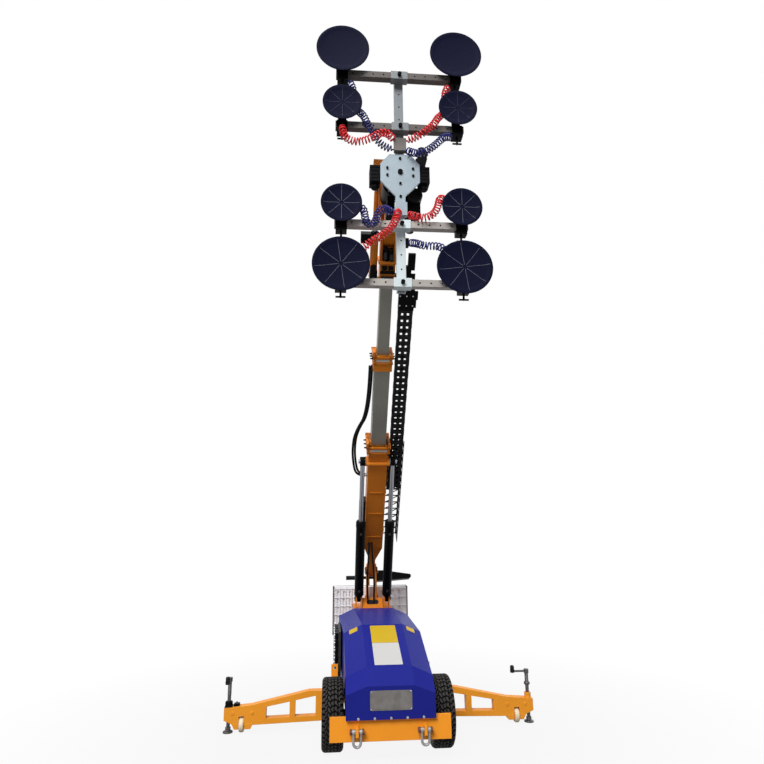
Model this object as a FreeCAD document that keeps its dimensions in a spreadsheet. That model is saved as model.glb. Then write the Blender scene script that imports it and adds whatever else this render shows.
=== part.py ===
import FreeCAD, Part
import math
import os
import re
import Sketcher

# Glass panel lifter. X is the machine's right as seen from the front, Y runs from front to rear, Z is up.
# Sizes are in mm from the front axle's ground point; axle_y then carries every piece so that the origin
# lies under the middle of the whole machine.
SIZES = {
    "axle_y": -372.5,
    # running gear
    "tyre_radius": 205.0, "tyre_half": 66.0, "wheel_centre": 336.0, "rim_radius": 110.0,
    "stub_radius": 23.7, "axle_radius": 38.0, "running_gap": 0.3,
    "steer_y": 1470.0, "rear_radius": 110.0, "steer_stem": 30.0,
    # chassis frame
    "rail_inner": 120.0, "rail_outer": 180.0, "rail_deep": 60.0,
    "frame_front": -264.0, "frame_rear": 1600.0,
    "bumper_half": 354.0, "bumper_thick": 12.0, "bumper_deep": 133.0,
    "shackle_x": 197.0, "shackle_z": 190.0, "shackle_y": -306.0, "lug_half": 8.0,
    # outriggers
    "outrigger_y": 401.0, "hinge_x": 345.0, "hinge_pin": 16.0, "ear_low": 44.0, "ear_top": 256.0,
    "ear_thick": 14.0, "beam_end": 1057.0, "beam_half": 30.0, "castor_x": 940.0, "castor_radius": 47.0,
    "castor_half": 16.0, "jack_x": 1030.0, "jack_radius": 12.0, "jack_top": 330.0, "crank_reach": 100.0,
    # bonnet
    "bonnet_front": -300.0, "bonnet_rear": 1212.0, "bonnet_skin": 4.0,
    # tower and boom
    "deck_front": 1216.0, "deck_rear": 1560.0, "deck_half": 162.0, "deck_top": 657.0,
    "boom_pivot_y": 1430.0, "boom_pivot_z": 945.0, "boom_lean": 39.7, "pivot_pin": 22.0,
    "upright_in": 28.0, "upright_out": 43.0,
    "base_half": 75.0, "base_deep": 95.0, "base_start": 340.0, "base_wall": 8.0,
    "middle_half": 56.0, "middle_deep": 75.0, "middle_start": 850.0, "middle_end": 2050.0,
    "top_half": 42.0, "top_deep": 57.0, "top_start": 1560.0, "top_end": 2630.0, "tube_wall": 6.0,
    "slide_gap": 0.5, "tip_along": 2940.0, "tip_pin": 20.0,
    # lift cylinders
    "foot_y": 1255.0, "foot_z": 732.0, "lift_x": 118.0, "foot_pin": 15.0,
    "lift_across": -66.0, "lift_along": 1200.0, "barrel_radius": 38.0, "barrel_length": 733.0,
    "rod_radius": 18.0, "rod_pin": 15.0, "boss_radius": 38.0, "boss_bore": 30.0,
    # energy chain beside the boom
    "chain_near": 96.0, "chain_far": 166.0, "chain_deep": 30.0, "chain_front": 6.0, "chain_back": 84.0,
    "chain_lap": 440.0, "chain_foot": 340.0, "chain_tip": 2600.0, "chain_link": 50.0,
    # head
    "head_rise": 36.0, "pan_y": -630.0, "pan_pin": 18.0, "drive_front": -1040.0, "drive_back": -882.0,
    "spine_back": -1094.0,
    "tilt_x": -96.0, "tilt_foot_along": 2660.0, "tilt_foot_across": -30.0, "tilt_head_y": -740.0,
    "tilt_head_rise": 160.0, "tilt_pin": 9.0,
    # suction frame
    "spine_wide": 48.0, "spine_low": 2543.0, "spine_top": 3872.0, "plate_half": 110.0, "plate_thick": 12.0,
    "bar_half": 20.0, "bar_long": 362.0, "sleeve_half": 25.0, "sleeve_long": 48.0, "bar_gap": 0.5,
    "cup_x": 325.0, "cup_face": -1230.0, "cup_deep": 30.0, "large_cup": 150.0, "small_cup": 110.0,
    "row_top": 3977.0, "row_upper": 3620.0, "row_lower": 3000.0, "row_bottom": 2650.0,
    "drop_top": 130.0, "drop_upper": 112.0, "drop_lower": 95.0, "drop_bottom": 82.0,
    # coiled vacuum hoses
    "hose_radius": 3.0, "coil_radius": 12.0, "curls": 12, "ball_radius": 12.7, "swivel_pin": 3.0,
}
# Places that follow from the sizes above.
FORMULAS = {
    "rail_low": "(tyre_radius + axle_radius)",
    "rail_top": "(rail_low + rail_deep)",
    "bonnet_low": "(rail_low + 4)",
    "bumper_top": "(bonnet_low + 15)",
    "bumper_low": "(bumper_top - bumper_deep)",
    "base_end": "(lift_along + 155)",
    "chain_fixed": "(base_end - 15)",
    "chain_turn": "(chain_fixed - chain_lap)",
    "tray_span": "(chain_fixed - chain_foot)",
    "tiller_y": "(steer_y + 295)",
    "fork_top": "(rail_low - 15)",
    "tiller_z": "(fork_top - 3)",
    "tip_y": "(boom_pivot_y - tip_along * sin(boom_lean))",
    "tip_z": "(boom_pivot_z + tip_along * cos(boom_lean))",
    "head_z": "(tip_z + head_rise)",
    "spine_front": "(spine_back - spine_wide)",
    "bar_mid": "(spine_front - sleeve_half)",
    "lift_y": "(boom_pivot_y + lift_across * cos(boom_lean) - lift_along * sin(boom_lean))",
    "lift_z": "(boom_pivot_z + lift_across * sin(boom_lean) + lift_along * cos(boom_lean))",
    "lift_reach": "sqrt((foot_y - lift_y)^2 + (lift_z - foot_z)^2)",
    "tilt_foot_y": "(boom_pivot_y + tilt_foot_across * cos(boom_lean) - tilt_foot_along * sin(boom_lean))",
    "tilt_foot_z": "(boom_pivot_z + tilt_foot_across * sin(boom_lean) + tilt_foot_along * cos(boom_lean))",
    "tilt_reach": "sqrt((tilt_foot_y - tilt_head_y)^2 + (head_z + tilt_head_rise - tilt_foot_z)^2)",
}
WORD = re.compile(r"[a-z_]+[a-z_0-9]*")

doc = FreeCAD.newDocument("glass_panel_lifter")
sheet = doc.addObject("Spreadsheet::Sheet", "dims")
for row, (name, value) in enumerate(SIZES.items(), 1):
    sheet.set(f"A{row}", name)
    sheet.set(f"B{row}", str(value))
    sheet.setAlias(f"B{row}", name)
doc.recompute()


def spell(text):
    """The text of an expression, with places written out and sizes named on the sheet."""
    text = str(text)
    while any(w in FORMULAS for w in WORD.findall(text)):
        text = WORD.sub(lambda m: FORMULAS.get(m.group(), m.group()), text)
    return WORD.sub(lambda m: "dims." + m.group() if m.group() in SIZES else m.group(), text)


def bind(thing, prop, text):
    thing.setExpression(prop, spell(text))


def number(name):
    return float(sheet.get(name))


def place(text):
    """The value of an expression, worked out on a spare box."""
    spare.setExpression("Placement.Base.x", spell(text))
    spare.recompute()
    return spare.Placement.Base.x


spare = doc.addObject("Part::Box", "spare")


def put(thing, at, turn=None):
    """Places a thing at three expressions, with a fixed turn."""
    thing.Placement = FreeCAD.Placement(FreeCAD.Vector(), turn or FreeCAD.Rotation())
    for axis, text in zip("xyz", at):
        bind(thing, "Placement.Base." + axis, text)
    return thing


def box(x, y, z):
    thing = doc.addObject("Part::Box", "box")
    for prop, (low, high) in zip(("Length", "Width", "Height"), (x, y, z)):
        bind(thing, prop, f"({high}) - ({low})")
    return put(thing, (x[0], y[0], z[0]))


TURNS = {
    "x": FreeCAD.Rotation(FreeCAD.Vector(0, 1, 0), 90),
    "y": FreeCAD.Rotation(FreeCAD.Vector(1, 0, 0), -90),
    "z": FreeCAD.Rotation(),
}
PLANES = {
    "x": FreeCAD.Rotation(FreeCAD.Vector(1, 1, 1), 120),
    "y": FreeCAD.Rotation(FreeCAD.Vector(1, 0, 0), 90),
    "z": FreeCAD.Rotation(),
}


def along(axis, low, across):
    """The place of a point at low on an axis and at two other coordinates across it."""
    return {"x": (low, *across), "y": (across[0], low, across[1]), "z": (*across, low)}[axis]


def rod(axis, radius, span, across):
    """A cylinder along an axis, from span's low to its high end."""
    thing = doc.addObject("Part::Cylinder", "rod")
    bind(thing, "Radius", radius)
    bind(thing, "Height", f"({span[1]}) - ({span[0]})")
    return put(thing, along(axis, span[0], across), TURNS[axis])


def outline(points, turn, at):
    """A closed sketch of straight lines whose corners are expressions."""
    sketch = doc.addObject("Sketcher::SketchObject", "outline")
    count = len(points)
    start = [FreeCAD.Vector(40 * math.cos(6.28 * k / count), 40 * math.sin(6.28 * k / count), 0)
             for k in range(count)]
    lines = [Part.LineSegment(start[k], start[(k + 1) % count]) for k in range(count)]
    sketch.addGeometry(lines, False)
    for k in range(count):
        sketch.addConstraint(Sketcher.Constraint("Coincident", k, 2, (k + 1) % count, 1))
    for k, corner in enumerate(points):
        for kind, text, value in zip(("DistanceX", "DistanceY"), corner, start[k]):
            spot = sketch.addConstraint(Sketcher.Constraint(kind, -1, 1, k, 1, value))
            bind(sketch, f"Constraints[{spot}]", text)
    return put(sketch, at, turn)


def prism(axis, points, span):
    """A plate of the given outline, straight along an axis."""
    thing = doc.addObject("Part::Extrusion", "prism")
    thing.Base = outline(points, PLANES[axis], along(axis, span[0], (0, 0)))
    thing.DirMode = "Custom"
    thing.Dir = FreeCAD.Vector(*(1.0 if a == axis else 0.0 for a in "xyz"))
    thing.Solid = True
    bind(thing, "LengthFwd", f"({span[1]}) - ({span[0]})")
    return thing


def turned(axis, points, at):
    """A turned piece: an outline of (radius, height) swept once round an axis."""
    thing = doc.addObject("Part::Revolution", "turned")
    thing.Source = outline(points, PLANES["y"], (0, 0, 0))
    thing.Axis = FreeCAD.Vector(0, 0, 1)
    thing.Angle = 360
    thing.Solid = True
    return put(group([thing]), at, TURNS[axis])


def group(things):
    thing = doc.addObject("Part::Compound", "group")
    thing.Links = list(things)
    return thing


def fuse(*things):
    thing = doc.addObject("Part::MultiFuse", "fuse")
    thing.Shapes = list(things)
    thing.Refine = True
    return thing


def cut(base, *tools):
    thing = doc.addObject("Part::Cut", "cut")
    thing.Base = base
    thing.Tool = tools[0] if len(tools) == 1 else fuse(*tools)
    thing.Refine = True
    return thing


def loft(sections):
    thing = doc.addObject("Part::Loft", "loft")
    thing.Sections = sections
    thing.Solid = True
    thing.Ruled = True
    return thing


def side(sign, low, high):
    """A span on the right of the middle, or its mirror on the left."""
    return (low, high) if sign > 0 else (f"-({high})", f"-({low})")


NODES = []


def node(name, *solids, at=("0", "0", "0"), lean="0"):
    """One named node: its solids, leaning about X, carried with the whole machine."""
    thing = group(solids)
    thing.Label = name
    put(thing, (at[0], f"axle_y + ({at[1]})", at[2]), FreeCAD.Rotation(FreeCAD.Vector(1, 0, 0), 1))
    bind(thing, "Placement.Rotation.Angle", lean)
    NODES.append(thing)
    return thing


BOTH = (("left", -1), ("right", 1))
BOOM = {"at": ("0", "boom_pivot_y", "boom_pivot_z"), "lean": "boom_lean"}

# Chassis frame: two rails, bumper plate, axle saddles, cross beam and brackets for the outriggers,
# and the block that carries the steering stem.
frame_pieces = [
    box(("-bumper_half", "bumper_half"), ("frame_front - bumper_thick", "frame_front"),
        ("bumper_low", "bumper_top")),
    box(("-235", "235"), ("bonnet_front + bonnet_skin", "frame_front - bumper_thick"),
        ("bonnet_low + 1", "bumper_top")),
    box(("-rail_inner", "rail_inner"), ("150", "1240"), ("rail_low", "rail_low + 12")),
    box(("-rail_inner", "rail_inner"), ("steer_y - 90", "steer_y + 90"), ("rail_low", "rail_top")),
    box(("-290", "290"), ("outrigger_y - 40", "outrigger_y + 40"), ("170", "rail_low")),
]
for word, sign in BOTH:
    ear_y = ("outrigger_y - 45", "outrigger_y + 45")
    frame_pieces += [
        box(side(sign, "rail_inner", "rail_outer"), ("frame_front", "frame_rear"),
            ("rail_low", "rail_top")),
        box(side(sign, "rail_inner", "rail_outer"), ("-60", "60"), ("tyre_radius", "rail_low")),
        box(side(sign, "shackle_x - lug_half", "shackle_x + lug_half"),
            ("shackle_y - 24", "frame_front - bumper_thick"), ("shackle_z - 24", "shackle_z + 24")),
        box(side(sign, "290", "304"), ear_y, ("ear_low", "ear_top + ear_thick")),
        box(side(sign, "304", "hinge_x + 40"), ear_y, ("ear_low", "ear_low + ear_thick")),
        box(side(sign, "304", "hinge_x + 40"), ear_y, ("ear_top", "ear_top + ear_thick")),
        box(side(sign, "300", "346"), ("outrigger_y + 33", "outrigger_y + 45"),
            ("ear_top + ear_thick", "395")),
    ]
frame_holes = [
    rod("x", "axle_radius", ("-250", "250"), ("0", "tyre_radius")),
    rod("z", "steer_stem + running_gap", ("rail_low - 5", "rail_top + 5"), ("0", "steer_y")),
    rod("x", "11", ("-bumper_half", "bumper_half"), ("shackle_y", "shackle_z")),
]
for word, sign in BOTH:
    frame_holes += [
        rod("z", "hinge_pin", ("ear_low - 5", "ear_top + 30"), (f"{sign} * hinge_x", "outrigger_y")),
        rod("y", "10", ("outrigger_y + 20", "outrigger_y + 60"), (f"{sign} * 323", "370")),
    ]
node("chassis_frame", cut(fuse(*frame_pieces), *frame_holes))

# Drive axle between the front wheels: housing, bulged gear case and a stub for each wheel.
node("drive_axle", fuse(
    rod("x", "axle_radius", ("-252", "252"), ("0", "tyre_radius")),
    rod("x", "80", ("-70", "70"), ("0", "tyre_radius")),
    rod("x", "stub_radius", ("-(wheel_centre + 34)", "wheel_centre + 34"), ("0", "tyre_radius"))))

# Front wheels: turf tyre with a rounded shoulder and two grooves, dished rim with five holes.
tyre_outline = [("rim_radius", "-tyre_half + 16"), ("150", "-tyre_half + 2"), ("185", "-tyre_half"),
                ("tyre_radius - 6", "-tyre_half + 8"), ("tyre_radius", "-tyre_half + 22")]
tyre_outline += [("tyre_radius", "-22"), ("tyre_radius - 8", "-20"), ("tyre_radius - 8", "-14"),
                 ("tyre_radius", "-12"),
                 ("tyre_radius", "12"), ("tyre_radius - 8", "14"), ("tyre_radius - 8", "20"),
                 ("tyre_radius", "22")]
tyre_outline += [(r, f"-({h})") for r, h in reversed(tyre_outline[:5])]
rim_outline = [("stub_radius + running_gap", "-48"), ("45", "-48"), ("45", "8"), ("100", "8"),
               ("100", "-50"),
               ("rim_radius", "-50"), ("rim_radius", "50"), ("100", "50"), ("100", "22"), ("45", "22"),
               ("45", "36"), ("stub_radius + running_gap", "36")]
for word, sign in BOTH:
    centre = (f"{sign} * wheel_centre", "0", "tyre_radius")
    outward = [(r, f"{sign} * ({h})") for r, h in rim_outline]
    web_holes = [rod("x", "9", (f"{sign} * wheel_centre - 60", f"{sign} * wheel_centre + 60"),
                     (f"70 * cos({72 * k})", f"tyre_radius + 70 * sin({72 * k})")) for k in range(5)]
    node(word + "_tyre", turned("x", tyre_outline, centre))
    node(word + "_rim", cut(turned("x", outward, centre), *web_holes))

# Shackles: a bow hanging from its own pin through the lug, with a head on the left end of the pin.
for word, sign in BOTH:
    middle = f"{sign} * shackle_x"
    pin = rod("x", "10.5", (f"{middle} - 34", f"{middle} + 30"), ("shackle_y", "shackle_z"))
    head = rod("x", "15", (f"{middle} - 42", f"{middle} - 30"), ("shackle_y", "shackle_z"))
    legs = [rod("z", "7.5", ("shackle_z - 58", "shackle_z"), (f"{middle} + {k * 21}", "shackle_y"))
            for k in (-1, 1)]
    eyes = [rod("x", "14", (f"{middle} + {k * 21} - 8", f"{middle} + {k * 21} + 8"),
                ("shackle_y", "shackle_z"))
            for k in (-1, 1)]
    bow = doc.addObject("Part::Torus", "bow")
    bow.Radius1 = 21
    bow.Radius2 = 7.5
    put(bow, (middle, "shackle_y", "shackle_z - 58"), FreeCAD.Rotation(FreeCAD.Vector(1, 0, 0), 90))
    upper = box((f"{middle} - 40", f"{middle} + 40"), ("shackle_y - 20", "shackle_y + 20"),
                ("shackle_z - 58", "shackle_z"))
    node(word + "_shackle", fuse(pin, head, *legs, *eyes, cut(bow, upper)))

# Bonnet: a folded sheet cover, straight from one section to the next, open below and behind.
# Each section has its place, the half width and height of its shoulder, and those of its top.
bonnet_sections = [("bonnet_front", 262, 133, 140, 178), ("bonnet_front + 100", 262, 208, 137, 263),
                   ("bonnet_front + 600", 264, 371, 140, 423), ("bonnet_rear", 286, 358, 160, 413)]
outer, inner = [], []
for k, (station, wide, shoulder, top_wide, top) in enumerate(bonnet_sections):
    for skin, sections in ((0, outer), (4, inner)):
        spot = f"{station} + {(4, 3, 0, 6)[k] if skin else 0}"
        low = f"bonnet_low - {skin}"
        half = [(f"{wide - skin}", low), (f"{wide - skin}", f"bonnet_low + {shoulder - 0.6 * skin}"),
                (f"{top_wide - 0.3 * skin}", f"bonnet_low + {top - skin}")]
        ring = half + [(f"-({x})", z) for x, z in reversed(half)]
        sections.append(outline(ring, PLANES["y"], ("0", spot, "0")))
bumper_room = box(("-bumper_half", "bumper_half"),
                  ("frame_front - bumper_thick - 0.5", "frame_front + 0.5"),
                  ("bonnet_low - 5", "bumper_top + 0.5"))
node("bonnet", cut(loft(outer), loft(inner), bumper_room))

# Pins and screws of the chassis: boom pivot, cylinder feet, outrigger hinges, bonnet screws.
pins = [rod("x", "pivot_pin", ("-upright_out - 12", "upright_out + 12"), ("boom_pivot_y", "boom_pivot_z"))]
for word, sign in BOTH:
    pins += [
        rod("x", "foot_pin", side(sign, "lift_x - 30", "lift_x + 30"), ("foot_y", "foot_z")),
        fuse(rod("z", "hinge_pin", ("ear_low - 8", "ear_top + 24"), (f"{sign} * hinge_x", "outrigger_y")),
             rod("z", "hinge_pin + 8", ("ear_top + ear_thick", "ear_top + 24"),
                 (f"{sign} * hinge_x", "outrigger_y"))),
    ]
pins += [rod("y", "7", ("bonnet_front - 5", "bonnet_front"), (f"{95 * k}", "bonnet_low + 8"))
         for k in range(-2, 3)]
node("pins_and_screws", *pins)

# Boom tower: box column on the rails, deck with a hose slot, two uprights, gussets and cylinder clevises.
upright = [("boom_pivot_y - 110", "deck_top"), ("boom_pivot_y - 62", "boom_pivot_z - 20"),
           ("boom_pivot_y - 50", "boom_pivot_z + 38"), ("boom_pivot_y - 20", "boom_pivot_z + 60"),
           ("boom_pivot_y + 20", "boom_pivot_z + 60"), ("boom_pivot_y + 50", "boom_pivot_z + 38"),
           ("boom_pivot_y + 62", "boom_pivot_z - 20"), ("boom_pivot_y + 110", "deck_top")]
clevis = [("foot_y - 36", "deck_top"), ("foot_y - 30", "foot_z + 8"), ("foot_y - 14", "foot_z + 32"),
          ("foot_y + 14", "foot_z + 32"), ("foot_y + 30", "foot_z + 8"), ("foot_y + 40", "deck_top")]
tower = [
    box(("-deck_half", "deck_half"), ("deck_front", "deck_rear"), ("deck_top - 17", "deck_top")),
    cut(box(("-150", "150"), ("deck_front + 8", "1545"), ("rail_top", "deck_top - 17")),
        box(("-140", "140"), ("deck_front + 18", "1535"), ("rail_top", "deck_top - 17"))),
    box(("-60", "60"), ("1545", "1565"), ("430", "600")),
    prism("x", [("deck_front", "deck_top - 2"), ("deck_front + 86", "deck_top - 2"),
                ("deck_front + 86", "deck_top + 76"),
                ("deck_front + 70", "deck_top + 76")], ("-86", "86")),
]
for word, sign in BOTH:
    gusset = [(f"{sign} * upright_out", "deck_top"), (f"{sign} * (upright_out + 38)", "deck_top"),
              (f"{sign} * upright_out", "deck_top + 120")]
    tower += [prism("x", upright, side(sign, "upright_in", "upright_out")),
              prism("y", gusset, ("boom_pivot_y - 60", "boom_pivot_y - 48")),
              prism("x", clevis, side(sign, "lift_x - 28", "lift_x - 17")),
              prism("x", clevis, side(sign, "lift_x + 17", "lift_x + 28"))]
tower_holes = [
    box(("-36", "36"), ("deck_front + 28", "deck_front + 58"), ("deck_top - 40", "deck_top + 90")),
    *[rod("z", "15", ("deck_top - 40", "deck_top + 90"), (f"{x}", "deck_front + 43")) for x in (-36, 36)],
    rod("x", "pivot_pin", ("-60", "60"), ("boom_pivot_y", "boom_pivot_z")),
    rod("x", "foot_pin", ("-deck_half", "deck_half"), ("foot_y", "foot_z")),
]
node("boom_tower", cut(fuse(*tower), *tower_holes))

# Battery pack and hydraulic unit on the floor plate under the bonnet.
batteries = [box((f"{-112 + 114 * i}", f"{-2 + 114 * i}"), (f"{190 + 150 * j}", f"{334 + 150 * j}"),
                 ("rail_low + 12", "470"))
             for i in range(2) for j in range(4)]
node("battery_pack", *batteries)
node("hydraulic_unit", fuse(box(("-105", "105"), ("830", "1020"), ("rail_low + 12", "520")),
                            rod("y", "70", ("1020", "1190"), ("0", "345")),
                            box(("-40", "40"), ("1020", "1080"), ("400", "500"))))

# Rear housing: louvred box behind the tower.
louvres = [box((f"{-300 + 55 * k}", f"{-270 + 55 * k}"), ("1560", "1575"), ("440", "760"))
           for k in range(11)]
node("rear_housing", cut(box(("-335", "335"), ("1565", "1680"), ("400", "796")), *louvres[:4],
                         *louvres[7:]))

# Steering: fork with stem, twin rear wheels on one axle, tiller hinged behind the fork.
fork_parts = [
    rod("z", "steer_stem", ("fork_top - 13", "rail_top + 12"), ("0", "steer_y")),
    box(("-24", "24"), ("steer_y - 50", "steer_y + 50"), ("80", "fork_top")),
    box(("-24", "24"), ("steer_y + 40", "tiller_y - 35"), ("fork_top - 40", "fork_top")),
    rod("x", "14", ("-88", "88"), ("steer_y", "rear_radius")),
    rod("x", "20", ("-24", "24"), ("tiller_y - 25", "fork_top - 16")),
]
for sign in (-1, 1):
    fork_parts.append(box(side(sign, "16", "24"), ("tiller_y - 65", "tiller_y + 25"),
                          ("fork_top - 40", "fork_top + 20")))
node("steering_fork", cut(fuse(*fork_parts),
                          box(("-16", "16"), ("tiller_y - 47", "tiller_y + 35"),
                              ("fork_top - 48", "fork_top + 32"))),
     rod("x", "9", ("-28", "28"), ("tiller_y", "tiller_z")))
rear_outline = [("14 + running_gap", "-26"), ("rear_radius - 14", "-27"), ("rear_radius", "-18"),
                ("rear_radius", "18"), ("rear_radius - 14", "27"), ("14 + running_gap", "26")]
node("rear_wheels", *[turned("x", rear_outline, (f"{sign} * 56", "steer_y", "rear_radius"))
                      for sign in (-1, 1)])
arm = turned("z", [("0", "0"), ("15", "0"), ("15", "640"), ("0", "640")], ("0", "0", "0"))
tiller_eye = cut(fuse(rod("x", "22", ("-14", "14"), ("0", "0")), arm,
                      rod("x", "13", ("-90", "90"), ("0", "640"))),
                 rod("x", "9 + running_gap", ("-20", "20"), ("0", "0")))
grip = rod("x", "18", ("-210", "-90"), ("0", "640"))
console = prism("y", [("60", "600"), ("400", "624"), ("415", "640"), ("410", "662"), ("150", "700"),
                      ("60", "700")], ("-42", "42"))
node("tiller", fuse(tiller_eye, grip, console), at=("0", "tiller_y", "tiller_z"), lean="-14")

# Outriggers: windowed beam with hinge knuckle and castor fork, then castor, jack foot and jack screw.
for word, sign in BOTH:
    s = f"{sign} * "
    beam = [("hinge_x + 22", "62"), ("castor_x - 40", "48"), ("castor_x + 44", "48"), ("beam_end", "80"),
            ("beam_end", "155"), ("castor_x - 60", "168"), ("hinge_x + 150", "246"),
            ("hinge_x + 22", "246")]
    windows = [[("449", "92"), ("586", "90"), ("586", "190"), ("449", "214")],
               [("623", "90"), ("779", "86"), ("779", "156"), ("623", "183")]]
    flip = lambda ring: [(f"{s}({x})", z) for x, z in ring]
    wide = ("outrigger_y - beam_half", "outrigger_y + beam_half")
    knuckle = rod("z", "30", ("ear_low + ear_thick + 1", "ear_top - 1"), (f"{s}hinge_x", "outrigger_y"))
    beam_holes = [prism("y", flip(ring), ("outrigger_y - 60", "outrigger_y + 60")) for ring in windows]
    beam_holes += [
        rod("z", "hinge_pin + running_gap", ("20", "300"), (f"{s}hinge_x", "outrigger_y")),
        rod("z", "jack_radius + running_gap", ("20", "300"), (f"{s}jack_x", "outrigger_y")),
        box((f"{s}castor_x - castor_half - 2", f"{s}castor_x + castor_half + 2"),
            ("outrigger_y - 60", "outrigger_y + 60"), ("10", "castor_radius * 2 + 8")),
    ]
    stub = rod("x", "8", (f"{s}castor_x - castor_half - 12", f"{s}castor_x + castor_half + 12"),
               ("outrigger_y", "castor_radius"))
    cheek = [box((f"{s}castor_x - castor_half - 12", f"{s}castor_x - castor_half - 2"),
                 ("outrigger_y - 22", "outrigger_y + 22"),
                 ("26", "80")),
             box((f"{s}castor_x + castor_half + 2", f"{s}castor_x + castor_half + 12"),
                 ("outrigger_y - 22", "outrigger_y + 22"),
                 ("26", "80"))]
    nut = rod("z", "22", ("70", "190"), (f"{s}jack_x", "outrigger_y"))
    node(word + "_outrigger", fuse(cut(fuse(prism("y", flip(beam), wide), knuckle, nut, *cheek),
                                       *beam_holes), stub))
    tread = [("8 + running_gap", "-castor_half"), ("castor_radius - 6", "-castor_half"),
             ("castor_radius", "-castor_half + 7"),
             ("castor_radius", "castor_half - 7"), ("castor_radius - 6", "castor_half"),
             ("8 + running_gap", "castor_half")]
    node(word + "_castor", turned("x", tread, (f"{s}castor_x", "outrigger_y", "castor_radius")))
    foot = [("0", "0"), ("33", "0"), ("33", "8"), ("18", "16"), ("18", "34"), ("9", "34"), ("9", "20"),
            ("0", "20")]
    node(word + "_jack_foot", turned("z", foot, (f"{s}jack_x", "outrigger_y", "0")))
    # the left crank points to the front, the right one inwards
    if sign < 0:
        crank = rod("y", "7", ("outrigger_y - crank_reach", "outrigger_y"), (f"{s}jack_x", "jack_top - 5"))
        grip_at = (f"{s}jack_x", "outrigger_y - crank_reach")
    else:
        crank = rod("x", "7", ("jack_x - crank_reach", "jack_x"), ("outrigger_y", "jack_top - 5"))
        grip_at = ("jack_x - crank_reach", "outrigger_y")
    node(word + "_jack_screw", fuse(
        rod("z", "9 - running_gap", ("20.5", "60"), (f"{s}jack_x", "outrigger_y")),
        rod("z", "jack_radius", ("40", "jack_top"), (f"{s}jack_x", "outrigger_y")),
        rod("z", "17", ("jack_top - 18", "jack_top + 8"), (f"{s}jack_x", "outrigger_y")),
        crank, rod("z", "12", ("jack_top - 14", "jack_top + 30"), grip_at)))

# Boom base section, upright in its own frame: foot lug, taper, hollow tube, collar, ribs and lift bosses.
taper = doc.addObject("Part::Wedge", "taper")
for prop, text in (("Xmin", "-26"), ("Xmax", "26"), ("Zmin", "-50"), ("Zmax", "50"), ("Ymin", "170"),
                   ("Ymax", "base_start"),
                   ("X2min", "-base_half"), ("X2max", "base_half"), ("Z2min", "-base_deep"),
                   ("Z2max", "base_deep")):
    bind(taper, prop, text)
taper.Placement = FreeCAD.Placement(FreeCAD.Vector(), FreeCAD.Rotation(FreeCAD.Vector(1, 0, 0), 90))
base_parts = [
    rod("x", "50", ("-26", "26"), ("0", "0")),
    box(("-26", "26"), ("-50", "50"), ("0", "170")),
    taper,
    box(("-base_half", "base_half"), ("-base_deep", "base_deep"), ("base_start", "base_end")),
    box(("-base_half - 12", "base_half + 12"), ("-base_deep - 12", "base_deep + 12"),
        ("base_end - 60", "base_end")),
    rod("x", "16", ("-base_half - 16", "base_half + 16"), ("-base_deep - 10", "lift_along")),
]
rib = "base_start + {} * (base_end - base_start)".format
base_parts += [box(("-56", "56"), ("-base_deep - 6", "-base_deep"),
                   (f"{rib(share)} - 5", f"{rib(share)} + 5"))
               for share in (0.124, 0.362, 0.57)]
base_parts += [rod("x", "boss_radius", side(sign, "base_half - 4", "lift_x - 26"),
                   ("lift_across", "lift_along"))
               for sign in (-1, 1)]
base_holes = [
    rod("x", "pivot_pin + running_gap", ("-60", "60"), ("0", "0")),
    box(("-base_half + base_wall", "base_half - base_wall"),
        ("-base_deep + base_wall", "base_deep - base_wall"),
        ("base_start + 4", "base_end - 60")),
    box(("-middle_half - slide_gap", "middle_half + slide_gap"),
        ("-middle_deep - slide_gap", "middle_deep + slide_gap"),
        ("base_end - 62", "base_end + 5")),
]
base_holes += [rod("x", "boss_bore", side(sign, "base_half - 3", "lift_x - 20"),
                   ("lift_across", "lift_along"))
               for sign in (-1, 1)]
node("boom_base", cut(fuse(*base_parts), *base_holes), **BOOM)

# Middle section with its rear guide, and its orange collar at the front end.
middle = fuse(
    box(("-middle_half", "middle_half"), ("-middle_deep", "middle_deep"), ("middle_start", "middle_end")),
    box(("-base_half + base_wall + slide_gap", "base_half - base_wall - slide_gap"),
        ("-base_deep + base_wall + slide_gap", "base_deep - base_wall - slide_gap"),
        ("middle_start", "middle_start + 60")))
node("boom_middle", cut(middle, box(("-middle_half + tube_wall", "middle_half - tube_wall"),
                                    ("-middle_deep + tube_wall", "middle_deep - tube_wall"),
                                    ("middle_start - 5", "middle_end + 5"))), **BOOM)
node("middle_collar", cut(
    box(("-middle_half - 12", "middle_half + 12"), ("-middle_deep - 12", "middle_deep + 12"),
        ("middle_end - 60", "middle_end + 60")),
    box(("-middle_half", "middle_half"), ("-middle_deep", "middle_deep"),
        ("middle_end - 65", "middle_end")),
    box(("-top_half - slide_gap", "top_half + slide_gap"),
        ("-top_deep - slide_gap", "top_deep + slide_gap"),
        ("middle_end - 5", "middle_end + 65"))), **BOOM)

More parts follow.
